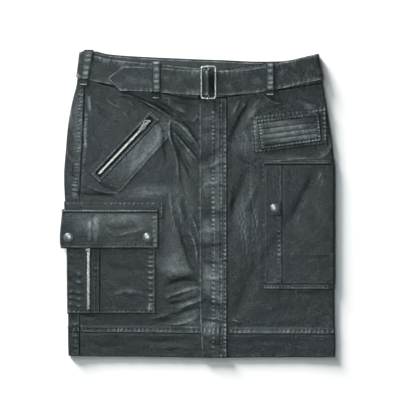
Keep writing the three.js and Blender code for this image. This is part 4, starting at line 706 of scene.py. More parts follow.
BODY = coated("coated_body", (0.0077, 0.0100, 0.0107), (0.175, 0.206, 0.218), 0.37, 0.75)
PANEL = coated("coated_pocket", (0.0074, 0.0094, 0.0098), (0.17, 0.20, 0.21), 0.37, 0.75)
STRAP = coated("coated_belt", (0.0078, 0.0100, 0.0105), (0.20, 0.235, 0.245), 0.41, 0.6)
TAPE = plain("zip_tape", (0.012, 0.014, 0.015), 0.85, 1500.0)
THREAD = plain("thread", (0.085, 0.096, 0.10), 0.5, 2500.0)
TACK = plain("tack", (0.26, 0.28, 0.28), 0.6, 2500.0)
NICKEL = metal("nickel", (0.82, 0.83, 0.84), 0.26, 0.0, (0.76, 0.77, 0.78))
DULL = metal("dull_nickel", (0.33, 0.345, 0.36), 0.3, 0.1, (0.13, 0.135, 0.14))
TEETH = metal("teeth", (0.80, 0.79, 0.74), 0.36)
CAP = metal("cap", (0.52, 0.55, 0.57), 0.36, 0.06, (0.40, 0.415, 0.42))


# ---------------------------------------------------------------- the body
UNDER_SEAM = 14  # how far in from the right fold the seam on the underside lies
WAIST_LEVEL = 205.0


def const(value):
    return lambda y: value + 0 * np.asarray(y, float)


def over(side, share, more=0.0):
    """A line up the skirt, a share of the way round its right (1) or left (-1) fold."""
    def line(y):
        run_r, run_l, r, _, _ = section(y)
        return side * ((run_r if side > 0 else run_l) + share * PI * r + more)
    return line


left_top, left_bottom, right_top, right_bottom = over(-1, 0), over(-1, 1), over(1, 0), over(1, 1)
under_end = over(1, 1, UNDER_SEAM)


def back_start(y):
    """The seam on the underside beside the right fold, reached round the left one."""
    run_r, run_l, r, _, _ = section(y)
    return -(run_l + PI * r + run_r + run_l - 14.3)


def plan(u):
    """The place across the plan for a distance across the cloth, for the hem and waist tables."""
    run_r, run_l, r, _, _ = section(np.zeros(np.shape(u)))
    right = np.where(u > run_r + PI * r, 2 * run_r + PI * r - u, np.minimum(u, run_r))
    left = np.where(u < -run_l - PI * r, -2 * run_l - PI * r - u, np.maximum(u, -run_l))
    return np.where(u > 0, right, left)


def waist_top(u):
    """The waist line's place up the skirt for a distance across the cloth."""
    level_ = WAIST_LEVEL + np.zeros(np.shape(u))
    run_r, run_l = section(level_)[:2]
    t = np.mod(turn_of(np.asarray(u, float), level_), 6)
    x = np.where(t <= 1, t * run_r, np.where(t >= 5, (t - 6) * run_l, run_r - (run_r + run_l) * (t - 2) / 2))
    x = np.where((t > 1) & (t < 2), run_r, np.where((t > 4) & (t < 5), -run_l, x))
    return np.where((t >= 2) & (t <= 4), WAIST_TOP(x, 1), WAIST_TOP(x, 0))


def underside(u, y):
    """Whether a place on the cloth lies on the underside."""
    t = np.mod(turn_of(u, y), 6)
    return (t >= 2) & (t <= 4)


def raised_hem(u, y):
    """The panels stand up in a strip just above the hem seam, where its allowance lies."""
    return 0.6 * (1 - smooth(y, hem_seam(plan(u)) + 9.6, hem_seam(plan(u)) + 11.4))


def seam_rise(u, y):
    """How high the felled side seam stands, less along the seam itself."""
    return 0.35 + 0.55 * smooth(SIDE_SEAM(y) - u, 0.5, 4)


def seam_strip(u, y):
    """Full on the felled side seam and towards the front, none on the back panel beside it."""
    return smooth(u, SIDE_SEAM(y) - 13.6, SIDE_SEAM(y) - 12.2)


def felled(u, y):
    """The felled side seam stands up from the back panel where it comes round to the front."""
    strip = seam_strip(u, y) * smooth(SIDE_SEAM(y) - u, -1, 0.5)
    free = np.maximum(smooth(y, 14, 20), smooth(-y, 188, 194))
    return np.where(underside(u, y), 0.0, np.maximum(seam_rise(u, y) * strip * free, raised_hem(u, y)))


def back_hem_out(u, y):
    """The hem band's outer face, with the felled seam running on over it."""
    return np.where(underside(u, y), 0.6, 0.6 + seam_rise(u, y) * seam_strip(u, y))


fold = steps(10, 1.1, (0,))


def from_left(end, length, pitch):
    """Lines across a left piece, from the side seam to its end."""
    return [(lambda y: SIDE_SEAM(y) + GAP / 2,), (const(end), steps(length, pitch))]


def to_under(start, length, pitch):
    """Lines across a right piece, from its start round the right fold."""
    return [(const(start),), (right_top, steps(length, pitch)), (right_bottom, fold),
            (under_end, steps(UNDER_SEAM, 2.5))]


def round_back(under, felled_part):
    """Lines across a back piece, from the seam on the underside round the left fold to the side seam."""
    return [(back_start,), (left_bottom, under), (left_top, fold), (lambda y: SIDE_SEAM(y) - GAP / 2, felled_part)]


hem_rows, waist_rows = steps(37, 2.0), steps(WAISTBAND, 1.9)
panel_rows, back_rows = (steps(400, pitch, extra=(9.4, 10.2, 11.0, 11.8)) for pitch in (2.0, 2.6))
panel_ends = lambda u: hem_seam(plan(u)) + GAP / 2, lambda u: waist_top(u) - WAISTBAND - GAP / 2
hem_ends = lambda u: HEM(plan(u), 1), lambda u: hem_seam(plan(u)) - GAP / 2
waist_ends = lambda u: waist_top(u) - WAISTBAND + GAP / 2, waist_top
wide_back = round_back(steps(400, 4.0), steps(22, 1.1))
for name, knots, rows, outer, node, width, more in (
        ("front_left", from_left(45, 233, 2.1), panel_rows, raised_hem, "front_left_panel", 236, {}),
        ("front_right", to_under(45.12, 174, 2.1), panel_rows, raised_hem, "front_right_panel", 198, {"painted_edge_shade": 0.3}),
        ("back", wide_back, back_rows, felled, "back_panel", 446, {})):
    lay("cloth_" + name, *spread(knots, rows, *panel_ends), -CLOTH, outer, BODY, node=node, flat=(width, 404),
        rests_on=[] if name == "back" else ["cloth_back"], **more)
for name, knots, outer, width in (
        ("left", from_left(45, 233, 2.2), 0.6, 234), ("right", to_under(45.12, 174, 2.2), 0.6, 198),
        ("back", wide_back, back_hem_out, 446)):
    lay("cloth_hem_" + name, *spread(knots, hem_rows, *hem_ends), -1.2, outer, BODY, radius=0.9,
        node="hem_band_" + name, flat=(width, 38), rests_on=[] if name == "back" else ["cloth_hem_back"])
for name, knots, width, more in (
        ("left", from_left(2.7, 184, 2.2), 186, {"edge_highlight_and_wear": 1.2, "painted_edge_shade": 1.3}),
        ("right", to_under(3.0, 192, 2.2), 218, {"edge_highlight_and_wear": 1.2, "painted_edge_shade": 1.3}),
        ("back", round_back(steps(380, 2.6), steps(12, 1.5)), 392, {"edge_highlight_and_wear": 1.4, "painted_edge_shade": 1.4, "lined": True})):
    lay("cloth_waist_" + name, *spread(knots, waist_rows, *waist_ends), -1.4, 0.8, BODY, radius=1.0,
        node="waistband_" + name, flat=(width, 45), rests_on=[] if name == "back" else ["cloth_waist_back"], **more)


# ---------------------------------------------------------------- placket
def placket_in(u, y):
    """The band's underside, higher over the raised hem."""
    return LAYER + 1.0 * (1 - smooth(y, -194.5, -191.5))


def placket_out(u, y):
    ridge = 0.5 * bell(u, 24.8, 2.1) + 0.3 * smooth(u, 26.5, 31) + 0.2 * bell(u, 34, 1.5)
    groove = -0.2 * (bell(u, 41.0, 0.8) + bell(u, 36.5, 0.7)) - 0.12 * bell(u, 29.5, 0.9)
    return placket_in(u, y) + CLOTH + ridge + groove - 0.6 * smooth(u, 45.0, 47.3)


u, y = spread([(lambda y: mix(5.4, 1.8, smooth(y, -245, -150)),), (const(47.3), steps(45, 0.95))], steps(415, 2.0),
              lambda u: HEM(u, 1) + 0.2, lambda u: waist_seam(u) - GAP)
lay("cloth_placket", u, y, placket_in, placket_out, BODY, radius=0.9,
    node="placket_band", flat=(45, 416), rests_on=["cloth_front_left"], edge_highlight_and_wear=0.6, painted_edge_shade=0.3)

# ---------------------------------------------------------------- belt, loops and buckle
# Offsets of the belt's first and second turn from the skirt, its thickness and half width.
FIRST, SECOND, THICK, HALF = 1.2, 3.6, 2.0, 20.0


def hump(x):
    """The free end's offset: it rises over the buckle's bar."""
    near = (x - 16.7) / 12
    base = mix(SECOND, FIRST, smooth(near, -0.2, 1))
    return base + (6.8 - mix(SECOND, FIRST, 0.3)) * bell(near, 0, 0.5)


def belt_path():
    """Rows of turn, middle y, half width and offset along the belt, from under the buckle to its tip."""
    rr, rl, _, _, _ = (float(v) for v in section(np.array(WAIST_LEVEL)))
    turn = lambda x: x / rr if x > 0 else x / rl
    tilted = lambda table, x: HALF * math.hypot(1, float(table(x + 1) - table(x - 1)) / 2)
    rows = [(turn(x), BELT_FIXED(x), tilted(BELT_FIXED, x), FIRST) for x in np.linspace(20.5, -rl, 86)]
    rows += [(-1 - s, 221.5, tilted(BELT_BACK, -rl), FIRST) for s in np.linspace(0, 1, 13)[1:]]
    rows += [(-2 - 2 * s, BELT_BACK(x), tilted(BELT_BACK, x), FIRST)
             for s, x in zip(np.linspace(0, 1, 121)[1:], np.linspace(-rl, rr, 121)[1:])]
    rows += [(-4 - s, 218.2, tilted(BELT_BACK, rr), FIRST) for s in np.linspace(0, 1, 13)[1:]]
    front = np.concatenate([np.linspace(rr, 34, 74), np.linspace(34, 2, 40)[1:], np.linspace(2, -120, 60)[1:],
                            np.linspace(-120, -142, 22)[1:]])
    for x in front[1:]:
        tip = min(tilted(BELT_FREE, x), 1.0 + max(x + 142, 0) ** 0.96)
        rows.append((turn(x) - 6, BELT_FREE(x), tip, float(hump(x))))
    return np.array(rows, float)


path = belt_path()
share = steps(40, 2.2)[None, :] * 2 - 1
u = path[:, :1] + 0 * share
v = share * path[:, 2:3]
y = path[:, 1:2] + v
base, normal, t = skin_at(u, y)
length = gaps(base, 0)[:, :1] + 0 * share
pucker = np.zeros(u.shape)
wear_and_painted_light = np.zeros(u.shape)
for k, (line, light) in enumerate([(-17.4, 1.0), (17.4, 0.8)]):
    fade = bell(v, line, 5.0)
    phase = 2 * PI * length / 8.2 + 1.8 * wobble(length * 0.08, 140 + k) + 0.06 * (v - line)
    bump = (0.5 + 0.5 * np.sin(phase)) ** 1.6
    power = np.clip(0.55 + 0.6 * wobble(length * 0.03, 150 + k), 0.05, 1.2)
    pucker += 0.3 * fade * power * (1.5 * bump - 0.5) - 0.15 * bell(v, line, 0.8)
    # painted highlight with wear on the pucker bumps along the stitch rows
    wear_and_painted_light += light * bell(v, line, 3.0) * (0.1 + 0.8 * bump ** 1.5 * power)
lie = 0.16 * crumple(length, v, 46, 71) + 0.05 * crumple(length, v, 15, 72)
hidden = (t > 1.3) & (t < 4.7)
lift = np.where(hidden, 0, pucker + lie)
full, d = rounded(base, 0.9)
mid = path[:, 3:4] + THICK / 2 + lift
# a painted highlight with wear in a band inside the belt's edges, and painted shade along the edges themselves
belt_edge_highlight_and_wear = bell(d, 1.5, 0.9) * (0.75 + 0.5 * wobble(length * 0.12, 160))
wear_and_painted_light = wear_and_painted_light * 0.8 + np.clip(belt_edge_highlight_and_wear, 0, 1.3) * 1.15
wear_and_painted_light = np.where(hidden, 0.1, wear_and_painted_light - 1.4 * bell(d, 0, 0.6) + 0.16 * crumple(length, v, 22, 161))
outer, inner = (base + normal * (mid + side * (full * THICK / 2))[..., None] for side in (1, -1))
shell("cloth_belt", outer, inner, STRAP, node="belt", slot="belt_cloth", wear_and_painted_light=wear_and_painted_light, flat=(40, 960),
      rests_on=["cloth_waist_left", "cloth_waist_right", "cloth_waist_back"])


def loop(name, node_name, top, bottom, layers, seed, widths=(13.2, 13.2)):
    """A belt loop from its top end to its folded bottom end, over the layers of belt under it."""
    (tx, ty), (bx, by) = top, bottom
    middle = (tx + bx) / 2
    free, fixed = float(BELT_FREE(middle)), float(BELT_FIXED(middle))
    lines = [fixed, free] if layers == 2 else [fixed] if middle < 0 else [free]
    belt_top, belt_bottom = max(lines) + HALF, min(lines) - HALF
    half = 0.7
    seat = 0.8 + 0.3 + half
    clear = seat + layers * (THICK + LAYER) + 0.3
    knots = np.array([
        (by + 5.5, seat), (by + 1.6, seat), (by + 0.5, seat + 0.9), (by + 0.9, seat + 1.9), (by + 1.9, seat + 2.4),
        (by + 3.4, seat + 2.1), (max(belt_bottom - 0.8, by + 4.4), mix(seat, clear, 0.5) + 0.6),
        (max(belt_bottom + 0.8, by + 5.6), clear + 0.3), (belt_top - 0.5, clear + 0.3),
        (min(ty - 1.4, belt_top + 1.8), mix(seat, clear, 0.75)), (ty, seat + 0.2)])
    s = np.concatenate([[0], np.cumsum(np.hypot(*np.diff(knots, axis=0).T))])
    table = Table(*np.column_stack([s, knots]))
    at = steps(s[-1], 0.9) * s[-1]
    yy, out = table(at, 0), table(at, 1)
    tangent = np.gradient(np.column_stack([yy, out]), axis=0)
    tangent /= np.linalg.norm(tangent, axis=1, keepdims=True)
    w = (steps(12, 1.0) - 0.5) * 12
    centre = mix(bx, tx, (yy - by) / (ty - by))
    uu = centre[None, :] + w[:, None] * mix(widths[1], widths[0], smooth(yy, by, ty))[None, :] / 12
    beat = np.sin(2 * PI * at / 8.6 + 1.8 * wobble(at * 0.12, seed))
    ripple = 0.2 * beat[None, :] * bell(np.abs(w), 4.6, 1.6)[:, None]
    base0, _, _ = skin(uu, yy[None, :] + 0 * uu)
    full, d = rounded(base0, 0.7)
    sides = []
    for sign in (1, -1):
        off_y = yy[None, :] - sign * tangent[None, :, 1] * half * full
        off_z = out[None, :] + sign * tangent[None, :, 0] * half * full + ripple
        b, n, _ = skin(uu, off_y)
        sides.append(b + n * off_z[..., None])
    bead = (0.5 + 0.5 * beat) ** 1.3
    on_belt = out - (clear + 0.3) > -1.5
    # painted highlights with wear on the pucker bumps, painted shade along the edges and where the loop runs under the
    # belt's lower edge, and a painted highlight on the folded bottom end
    painted_light_and_wear = 0.1 + 0.9 * bead[None, :] * bell(w, 0, 3.4)[:, None] * on_belt[None, :]
    painted_light_and_wear = painted_light_and_wear - 1.3 * bell(d, 0, 1.1)
    painted_light_and_wear = painted_light_and_wear - 1.4 * smooth(belt_bottom - yy, -0.6, 0.8)[None, :]
    painted_light_and_wear = painted_light_and_wear + 2.6 * bell(yy - by, 1.8, 1.1)[None, :] * bell(w, 0, 4.6, 4)[:, None]
    shell(name, sides[0], sides[1], STRAP, node=node_name, wear_and_painted_light=np.clip(painted_light_and_wear, -1, 1.4),
          flat=(sum(widths) / 2, 64), rests_on=["cloth_belt"])


loop("cloth_loop_side", "belt_loop_side", (-173.4, 245.5), (-181.6, 187.5), 1, 5, (15.6, 12.8))
loop("cloth_loop_left", "belt_loop_front_left", (-66, 227.2), (-66, 166.8), 2, 6)
loop("cloth_loop_right", "belt_loop_front_right", (115.4, 226.2), (115.4, 172.0), 1, 7)


def ring_faces(rings, sides, closed=False):
    """Faces between rings of points, with end caps where the rings don't close on themselves."""
    faces = []
    for i in range(rings if closed else rings - 1):
        for k in range(sides):
            j, l = (i + 1) % rings, (k + 1) % sides
            faces.append((i * sides + k, i * sides + l, j * sides + l, j * sides + k))
    if not closed:
        faces += [tuple(range(sides))[::-1], tuple((rings - 1) * sides + k for k in range(sides))]
    return faces


def tube_mesh(line, radius, sides, closed=True):
    """Points and faces of a round wire along a line."""
    line = np.array(line, float)
    ahead = unit(np.roll(line, -1, 0) - np.roll(line, 1, 0) if closed else np.gradient(line, axis=0))
    side = unit(np.cross(ahead, np.where(np.abs(ahead[:, 2:]) > 0.9, [[1.0, 0, 0]], [[0, 0, 1.0]])))
    up = np.cross(side, ahead)
    a = np.linspace(0, 2 * PI, sides, endpoint=False)[None, :, None]
    radius = np.broadcast_to(np.asarray(radius, float), (len(line),))[:, None, None]
    points = line[:, None] + radius * (np.cos(a) * side[:, None] + np.sin(a) * up[:, None])
    return points.reshape(-1, 3), ring_faces(len(line), sides, closed)


def join(parts):
    """Many meshes, each as points and faces, as one."""
    points, faces, at = [], [], 0
    for p, f in parts:
        points.append(p)
        faces += [tuple(int(i) + at for i in face) for face in f]
        at += len(p)
    return np.concatenate(points), faces


def rounded_rectangle(w, h, r):
    """Points round a rectangle with round corners, in the plan."""
    line = []
    for cx, cy, a0 in ((w / 2 - r, h / 2 - r, 0), (-w / 2 + r, h / 2 - r, 90), (-w / 2 + r, -h / 2 + r, 180),
                       (w / 2 - r, -h / 2 + r, 270)):
        for a in np.radians(np.linspace(a0, a0 + 90, 10)):
            line.append((cx + r * math.cos(a), cy + r * math.sin(a)))
    return line


bx, by, bz = 17.0, 192.9, 14.4
ring = []
corners = rounded_rectangle(22.4, 50.2, 3.4)
for k, (x0, y0) in enumerate(corners):
    x1, y1 = corners[(k + 1) % len(corners)]
    for s in np.linspace(0, 1, 5 if math.hypot(x1 - x0, y1 - y0) > 3 else 2)[:-1]:
        ring.append((bx + mix(x0, x1, s), by + mix(y0, y1, s), bz))
bar = [(bx, by + s, bz - 2.1) for s in np.linspace(-25.2, 25.2, 12)]
collars = []
for sign in (-1, 1):
    c = [(bx + s, by + sign * 25.25, bz - 0.2) for s in (-2.1, -2.0, -1.7, 0, 1.7, 2.0, 2.1)]
    collars.append(tube_mesh(c, np.array([1.3, 1.6, 1.86, 1.9, 1.86, 1.6, 1.3]), 16, False))
points, faces = join([tube_mesh(ring, 1.6, 18), tube_mesh(bar, 1.2, 14, False), *collars])
make("buckle_wire", points, faces, NICKEL, "buckle_metal", node="buckle")

# ---------------------------------------------------------------- slanted hip zip
a_, b_ = steps(126, 1.8), steps(32, 1.6)
below = mix(10.9, mix(45.0, 41.0, a_)[:, None], b_[None, :])
along = mix(mix(-12, 0.5, b_)[None, :], mix(126, 118, b_)[None, :], a_[:, None])
u, y = hip(along, below)
ends = smooth(a_, 0, 0.04) * (1 - smooth(a_, 0.95, 1))
lay("cloth_hip_facing", u, y, LAYER, LAYER + 0.3 + 0.8 * ends[:, None], PANEL, radius=0.8, node="hip_zip_facing",
    flat=(138, 33), rests_on=["cloth_front_left"], area=131 * 32.1, edge_highlight_and_wear=0.4, painted_edge_shade=0.1)

corner_in = [(-2.5, -5.2), (122.5, -5.2), (122.5, 5.2), (-2.5, 5.2)]
corner_out = [(-10, -10.5), (130, -10.5), (130, 10.5), (-10, 10.5)]
cols_in, cols_out = [], []
for k in range(4):
    i0, i1, o0, o1 = (np.array(c[j % 4]) for c in (corner_in, corner_out) for j in (k, k + 1))
    n = int(np.linalg.norm(o1 - o0) / 1.3)
    for s in np.linspace(0, 1, n, endpoint=False):
        cols_in.append(mix(i0, i1, s))
        cols_out.append(mix(o0, o1, s))
w = steps(5.3, 0.55, (0, 0.1, 0.3, 0.6))
cols_in, cols_out = np.array(cols_in), np.array(cols_out)
local = mix(cols_in[:, None], cols_out[:, None], w[None, :, None])
u, y = hip(local[..., 0], local[..., 1])
lay("cloth_hip_welt", u, y, LAYER, LAYER + 1.5, PANEL, radius=0.9, node="hip_zip_welt", looped=True,
    flat=(140, 21), area=1640, rests_on=["cloth_front_left"], edge_highlight_and_wear=0.75, painted_edge_shade=1.3)
a_, b_ = steps(124.4, 2.0, (0,)), steps(10.0, 0.8, (0,))
u, y = hip(mix(-2.2, 122.2, a_)[:, None] + 0 * b_[None, :], mix(-5.0, 5.0, b_)[None, :] + 0 * a_[:, None])
lay("zip_tape_hip", u, y, LAYER, LAYER + 0.7, TAPE, radius=0.3, node="hip_zip_tape", slot="zip_tape",
    flat=(10.0, 124.4), rests_on=["cloth_front_left"], edge_highlight_and_wear=0)


def boxes(centres, along, side, up, size):
    """Many small bevelled blocks as one mesh: centres and axes are rows, size is along, side and up."""
    l, w, h = (s / 2 for s in size)
    ring = lambda f, z: [(-l * f, -w * f, z), (l * f, -w * f, z), (l * f, w * f, z), (-l * f, w * f, z)]
    local = np.array(ring(0.9, -h) + ring(1.0, -h * 0.6) + ring(1.0, h * 0.35) + ring(0.78, h))
    faces = [(3, 2, 1, 0), (12, 13, 14, 15)]
    for k in range(3):
        for i in range(4):
            j = (i + 1) % 4
            faces.append((4 * k + i, 4 * k + j, 4 * k + 4 + j, 4 * k + 4 + i))
    points = (centres[:, None] + local[None, :, :1] * along[:, None] + local[None, :, 1:2] * side[:, None]
              + local[None, :, 2:] * up[:, None])
    faces = (np.array(faces)[None] + 16 * np.arange(len(centres))[:, None, None]).reshape(-1, 4)
    return points.reshape(-1, 3), faces


def teeth(name, node_name, place, length, pitch, out, tooth=(1.2, 2.4, 1.3)):
    """Two rows of teeth that mesh along a zip. place turns along and across into a place on the front."""
    count = int(length / pitch)
    parts = []
    for side in (-1, 1):
        s = (np.arange(count) + (0.25 if side < 0 else 0.75)) * pitch
        u, y = place(s, side * 0.75 + 0 * s)
        base, normal, _ = skin(u, y)
        u1, y1 = place(s + 1, side * 0.75 + 0 * s)
        ahead = unit(skin(u1, y1)[0] - base)
        parts.append(boxes(base + normal * out, ahead, np.cross(normal, ahead), normal, tooth))
    points, faces = join(parts)
    make(name, points, faces, TEETH, "zip_teeth", node=node_name, smooth_faces=False)


teeth("teeth_hip", "hip_zip_teeth", hip, 119, 2.1, LAYER + 0.7 + 0.95)


def softened(name, node_name, mat, body="skirt", width=0.16):
    """A solid piece again, with its edges rounded."""
    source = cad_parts[node_name]
    mesh = source.data.copy()
    mesh.name = name
    mesh.transform(source.matrix_world)
    mesh.materials.clear()
    mesh.materials.append(mat)
    obj = placed(name, mesh)
    weld = obj.modifiers.new("weld", "WELD")
    weld.merge_threshold = 1e-6
    flat = obj.modifiers.new("flat", "DECIMATE")
    flat.decimate_type, flat.angle_limit = "DISSOLVE", math.radians(4)
    bevel = obj.modifiers.new("bevel", "BEVEL")
    bevel.width, bevel.segments, bevel.limit_method, bevel.angle_limit = width * MM, 3, "ANGLE", math.radians(35)
    bevel.use_clamp_overlap = True
    graph = bpy.context.evaluated_depsgraph_get()
    done = bpy.data.meshes.new_from_object(obj.evaluated_get(graph))
    obj.modifiers.clear()
    obj.data = done
    done.shade_smooth()
    done.set_sharp_from_angle(angle=math.radians(50))
    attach(obj, body)
    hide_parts(node_name)


softened("slider_hip", "hip_zip_slider", DULL)
softened("pull_hip", "hip_zip_pull", DULL, body="hip_zip_pull", width=0.2)
softened("slider_cargo", "cargo_zip_slider", NICKEL)

# ---------------------------------------------------------------- cargo pocket
OVER_FOLD = 0.62  # how far round a side fold the pockets reach


def level(low, high):
    """Straight lower and upper ends of a net."""
    return const(low), const(high)


round_left = [(over(-1, OVER_FOLD),), (left_top, steps(6, 1.0))]
u, y = spread([*round_left, (const(-55), steps(154, 2.0))], steps(27.4, 1.5), *level(-23.7, 3.7))
lay("cloth_cargo_facing", u, y, LAYER, LAYER + CLOTH, PANEL, radius=0.8, node="cargo_facing", flat=(160, 27.4),
    rests_on=["cloth_front_left", "cloth_back"])


def cargo_bulge(u, y):
    return 2.4 * bell(u, -171, 13) * smooth(-y, 22, 46)


def bag_out(u, y):
    band = 0.5 * smooth(u, -170.6, -169.4) * (1 - smooth(u, -157.2, -156.0))
    grooves = -0.3 * (bell(u, -170.5, 0.7) + bell(u, -163.2, 0.7) + bell(u, -155.8, 0.8))
    slot_cut = -0.55 * bell(u, -175, 2.7, 4) * smooth(y, -172, -168.5)
    return LAYER + CLOTH + band + grooves * smooth(y, -175, -170) + slot_cut


u, y = spread([*round_left, (const(-182), steps(27, 1.2)), (const(-155), steps(27, 0.75)),
               (const(-67.3), steps(88, 1.8))], steps(150, 1.9), *level(-175.5, -25.5))
lay("cloth_cargo_bag", u, y, LAYER, bag_out, PANEL, radius=0.9, node="cargo_pocket", flat=(147, 150),
    rests_on=["cloth_front_left", "cloth_back"], edge_highlight_and_wear=0.6)
teeth("teeth_cargo", "cargo_zip_teeth", lambda s, w: (-174.6 + 1.2 * w, -168.5 + s), 108, 2.1,
      LAYER + CLOTH + 0.6, (1.3, 2.9, 1.3))


def flap_net():
    """The flap's two faces, and its wear with painted highlights on the piping, edges and end, and painted shade along
    the edges and in the groove under the piping. It stands clear of the side fold and puffs out over it.
    """
    flat_x = -62.7 - steps(133.3, 1.6) * 133.3
    flat_x = flat_x[flat_x > -195.9]
    out_u = np.concatenate([np.linspace(0, 20, 12), np.linspace(20, 26, 14)[1:]])
    rows = steps(63, 1.5, extra=(0.6, 1.6, 2.4, 4.0, 4.8, 5.4, 6.0, 6.8)) * 63
    hinge, held = -8.3, -196.0
    y = hinge - rows[None, :]
    reach = (FLAP_EDGE(y) - held) / (-220.4 - held)
    x_flat = flat_x[:, None] + 0 * y
    across_ = np.interp(out_u, [0, 10, 17.5, 21.6, 23.8, 24.7, 26.0], [0, 10, 17.5, 21.6, 23.8, 24.4, 23.8])
    x_side = held - across_[:, None] * reach
    x = np.concatenate([x_flat, x_side])
    drop = np.concatenate([0 * x_flat, FLAP_DROP(out_u)[:, None] + 0 * y])
    y = y + 0 * x
    base, _, t = skin(np.maximum(x, held), y)
    h, wear_and_painted_light = detail(np.maximum(x, -206.0), y, t, x)
    down = hinge - y
    under = 2 * LAYER + CLOTH + 0.3 + 0.7 * smooth(down, 2, 16)
    puff = 0.5 * crumple(x * 0.8, y, 40, 90) * smooth(down, 4, 24)
    puff = puff + 0.6 * bell(x, -120, 26) * smooth(down, 10, 50)
    z = base[..., 2] + under + 1.8 + cargo_bulge(x, y) - drop + h + np.abs(puff) * 0.5
    face = np.stack([x, y, z], -1)
    n = unit(np.cross(np.gradient(face, axis=1), np.gradient(face, axis=0)))
    n *= np.sign(n[..., 2:3].mean())
    piping = 0.9 * bell(down, 3.0, 2.0, 4) - 0.25 * bell(down, 6.2, 0.9)
    full, d = rounded(face, 1.0)
    mid = face - n * 0.9
    # a painted highlight with wear inside the edge and along the end, and painted shade along the edge itself
    edge = bell(d, 2.4, 1.0) * (0.5 + 0.6 * wobble((x + 1.7 * y) * 0.1, 91)) * 0.55
    edge = edge - 1.3 * bell(d, 0, 1.0)
    end_beads = 0.5 + 0.6 * np.sin(2 * PI * y / 7.5 + wobble(y * 0.2, 93))
    edge = edge + 0.9 * bell(x, -69, 2.4) * smooth(-y, 16, 19) * end_beads
    beads = 0.5 + 0.5 * np.sin(2 * PI * x / 4.6 + 1.6 * wobble(x * 0.07, 92))
    piping_highlight_and_wear = 0.9 * bell(down, 3.6, 1.5) * beads
    # painted shade in the groove below the piping
    wear_and_painted_light = np.clip(wear_and_painted_light + edge + piping_highlight_and_wear - 0.8 * np.exp(-((down - 6.6) / 1.0) ** 2), -1, 1.5)
    return mid + n * (0.9 * full + piping)[..., None], mid - n * (0.9 * full)[..., None], wear_and_painted_light


outer, inner, wear_and_painted_light = flap_net()
shell("cloth_cargo_flap", outer, inner, PANEL, node="cargo_flap", wear_and_painted_light=wear_and_painted_light, flat=(166, 63),
      rests_on=["cloth_cargo_bag", "cloth_cargo_facing"])


# ---------------------------------------------------------------- pen pocket and bellows pocket
def quad(corners, a, b):
    c = np.array(corners, float)
    a, b = a[..., None], b[..., None]
    return mix(mix(c[0], c[1], a), mix(c[3], c[2], a), b)


a_, b_ = steps(118, 1.8), steps(58, 1.8)
p = quad(PEN, a_[:, None] + 0 * b_[None, :], b_[None, :] + 0 * a_[:, None])
lay("cloth_pen_patch", p[..., 0], p[..., 1], LAYER, LAYER + CLOTH, PANEL, radius=0.8, node="pen_pocket",
    flat=(119, 59), area=6900, rests_on=["cloth_front_right"], edge_highlight_and_wear=0.5, painted_edge_shade=1.4)
a_, b_ = steps(98, 1.3), steps(47, 0.55)
A, B = a_[:, None] + 0 * b_[None, :], b_[None, :] + 0 * a_[:, None]
p = quad(PEN_FLAP, A, B)
top = 1 - 5.6 / 47
rib = np.clip((B - 0.1) / (top - 0.13), 0, 1)
ribs = 0.9 * np.abs(np.sin(4 * PI * rib)) ** 0.7 * smooth(A, 0.05, 0.07) * (1 - smooth(A, 0.93, 0.95))
ribs = ribs * (B > 0.1) * (B < top - 0.03)
lift = ribs + 0.6 * smooth(B, top, top + 0.03) - 0.25 * bell(B, top, 0.015)
base_out = 2 * LAYER + CLOTH + 1.6
lay("cloth_pen_flap", p[..., 0], p[..., 1], 2 * LAYER + CLOTH, base_out + lift, PANEL, radius=1.0, node="pen_flap",
    flat=(98, 47), area=4580, rests_on=["cloth_pen_patch"], edge_highlight_and_wear=0.5, painted_edge_shade=1.6)


def round_right(start, length, pitch):
    """Lines from a start on the front to part of the way round the right fold."""
    return [(const(start),), (right_top, steps(length, pitch)), (over(1, OVER_FOLD), steps(6, 1.0))]


bellows_rows, bellows_ends = steps(190.4, 1.9), level(-128.2, 62.7)
u, y = spread(round_right(135.0, 84, 1.9), bellows_rows, *bellows_ends)
lay("cloth_bellows_panel", u, y, LAYER, LAYER + CLOTH, PANEL, radius=0.8, node="bellows_panel", flat=(90, 191),
    rests_on=["cloth_front_right"], edge_highlight_and_wear=0.3, painted_edge_shade=0.3)
u, y = spread([(const(106.0),), (const(134.9), steps(28.9, 1.2))], bellows_rows, *bellows_ends)
lay("cloth_bellows_gusset", u, y, LAYER, LAYER + 0.9, PANEL, radius=0.6, node="bellows_gusset", flat=(28.7, 191),
    rests_on=["cloth_front_right"], edge_highlight_and_wear=0.4, painted_edge_shade=0.4)
for name, low, high in (("top", 63.0, 71.0), ("bottom", -136.5, -128.5)):
    u, y = spread(round_right(104.0, 114, 1.6), steps(8, 0.8), *level(low, high))
    lay("cloth_bellows_" + name, u, y, LAYER, LAYER + 1.9 - 1.1 * smooth(u, 208, 215), PANEL, radius=1.0,
        node="bellows_" + name + "_binding", flat=(121, 11), rests_on=["cloth_front_right"], edge_highlight_and_wear=0.45)
u, y = spread([(const(115.5),), (const(133.0), steps(17.5, 1.2))], steps(22, 1.2), *level(-19, 3))
lay("cloth_bellows_tab", u, y, 2 * LAYER + 0.9, 2 * LAYER + 0.9 + CLOTH, PANEL, radius=0.8, node="bellows_tab",
    flat=(17.5, 22), rests_on=["cloth_bellows_gusset"], edge_highlight_and_wear=0.2, painted_edge_shade=1.5)


# ---------------------------------------------------------------- snaps
def lathe(profile, sides):
    rows = np.array(profile, float)
    a = np.linspace(0, 2 * PI, sides, endpoint=False)
    points = np.stack([rows[:, :1] * np.cos(a), rows[:, :1] * np.sin(a), rows[:, 1:] + 0 * a], -1).reshape(-1, 3)
    return points, ring_faces(len(rows), sides)


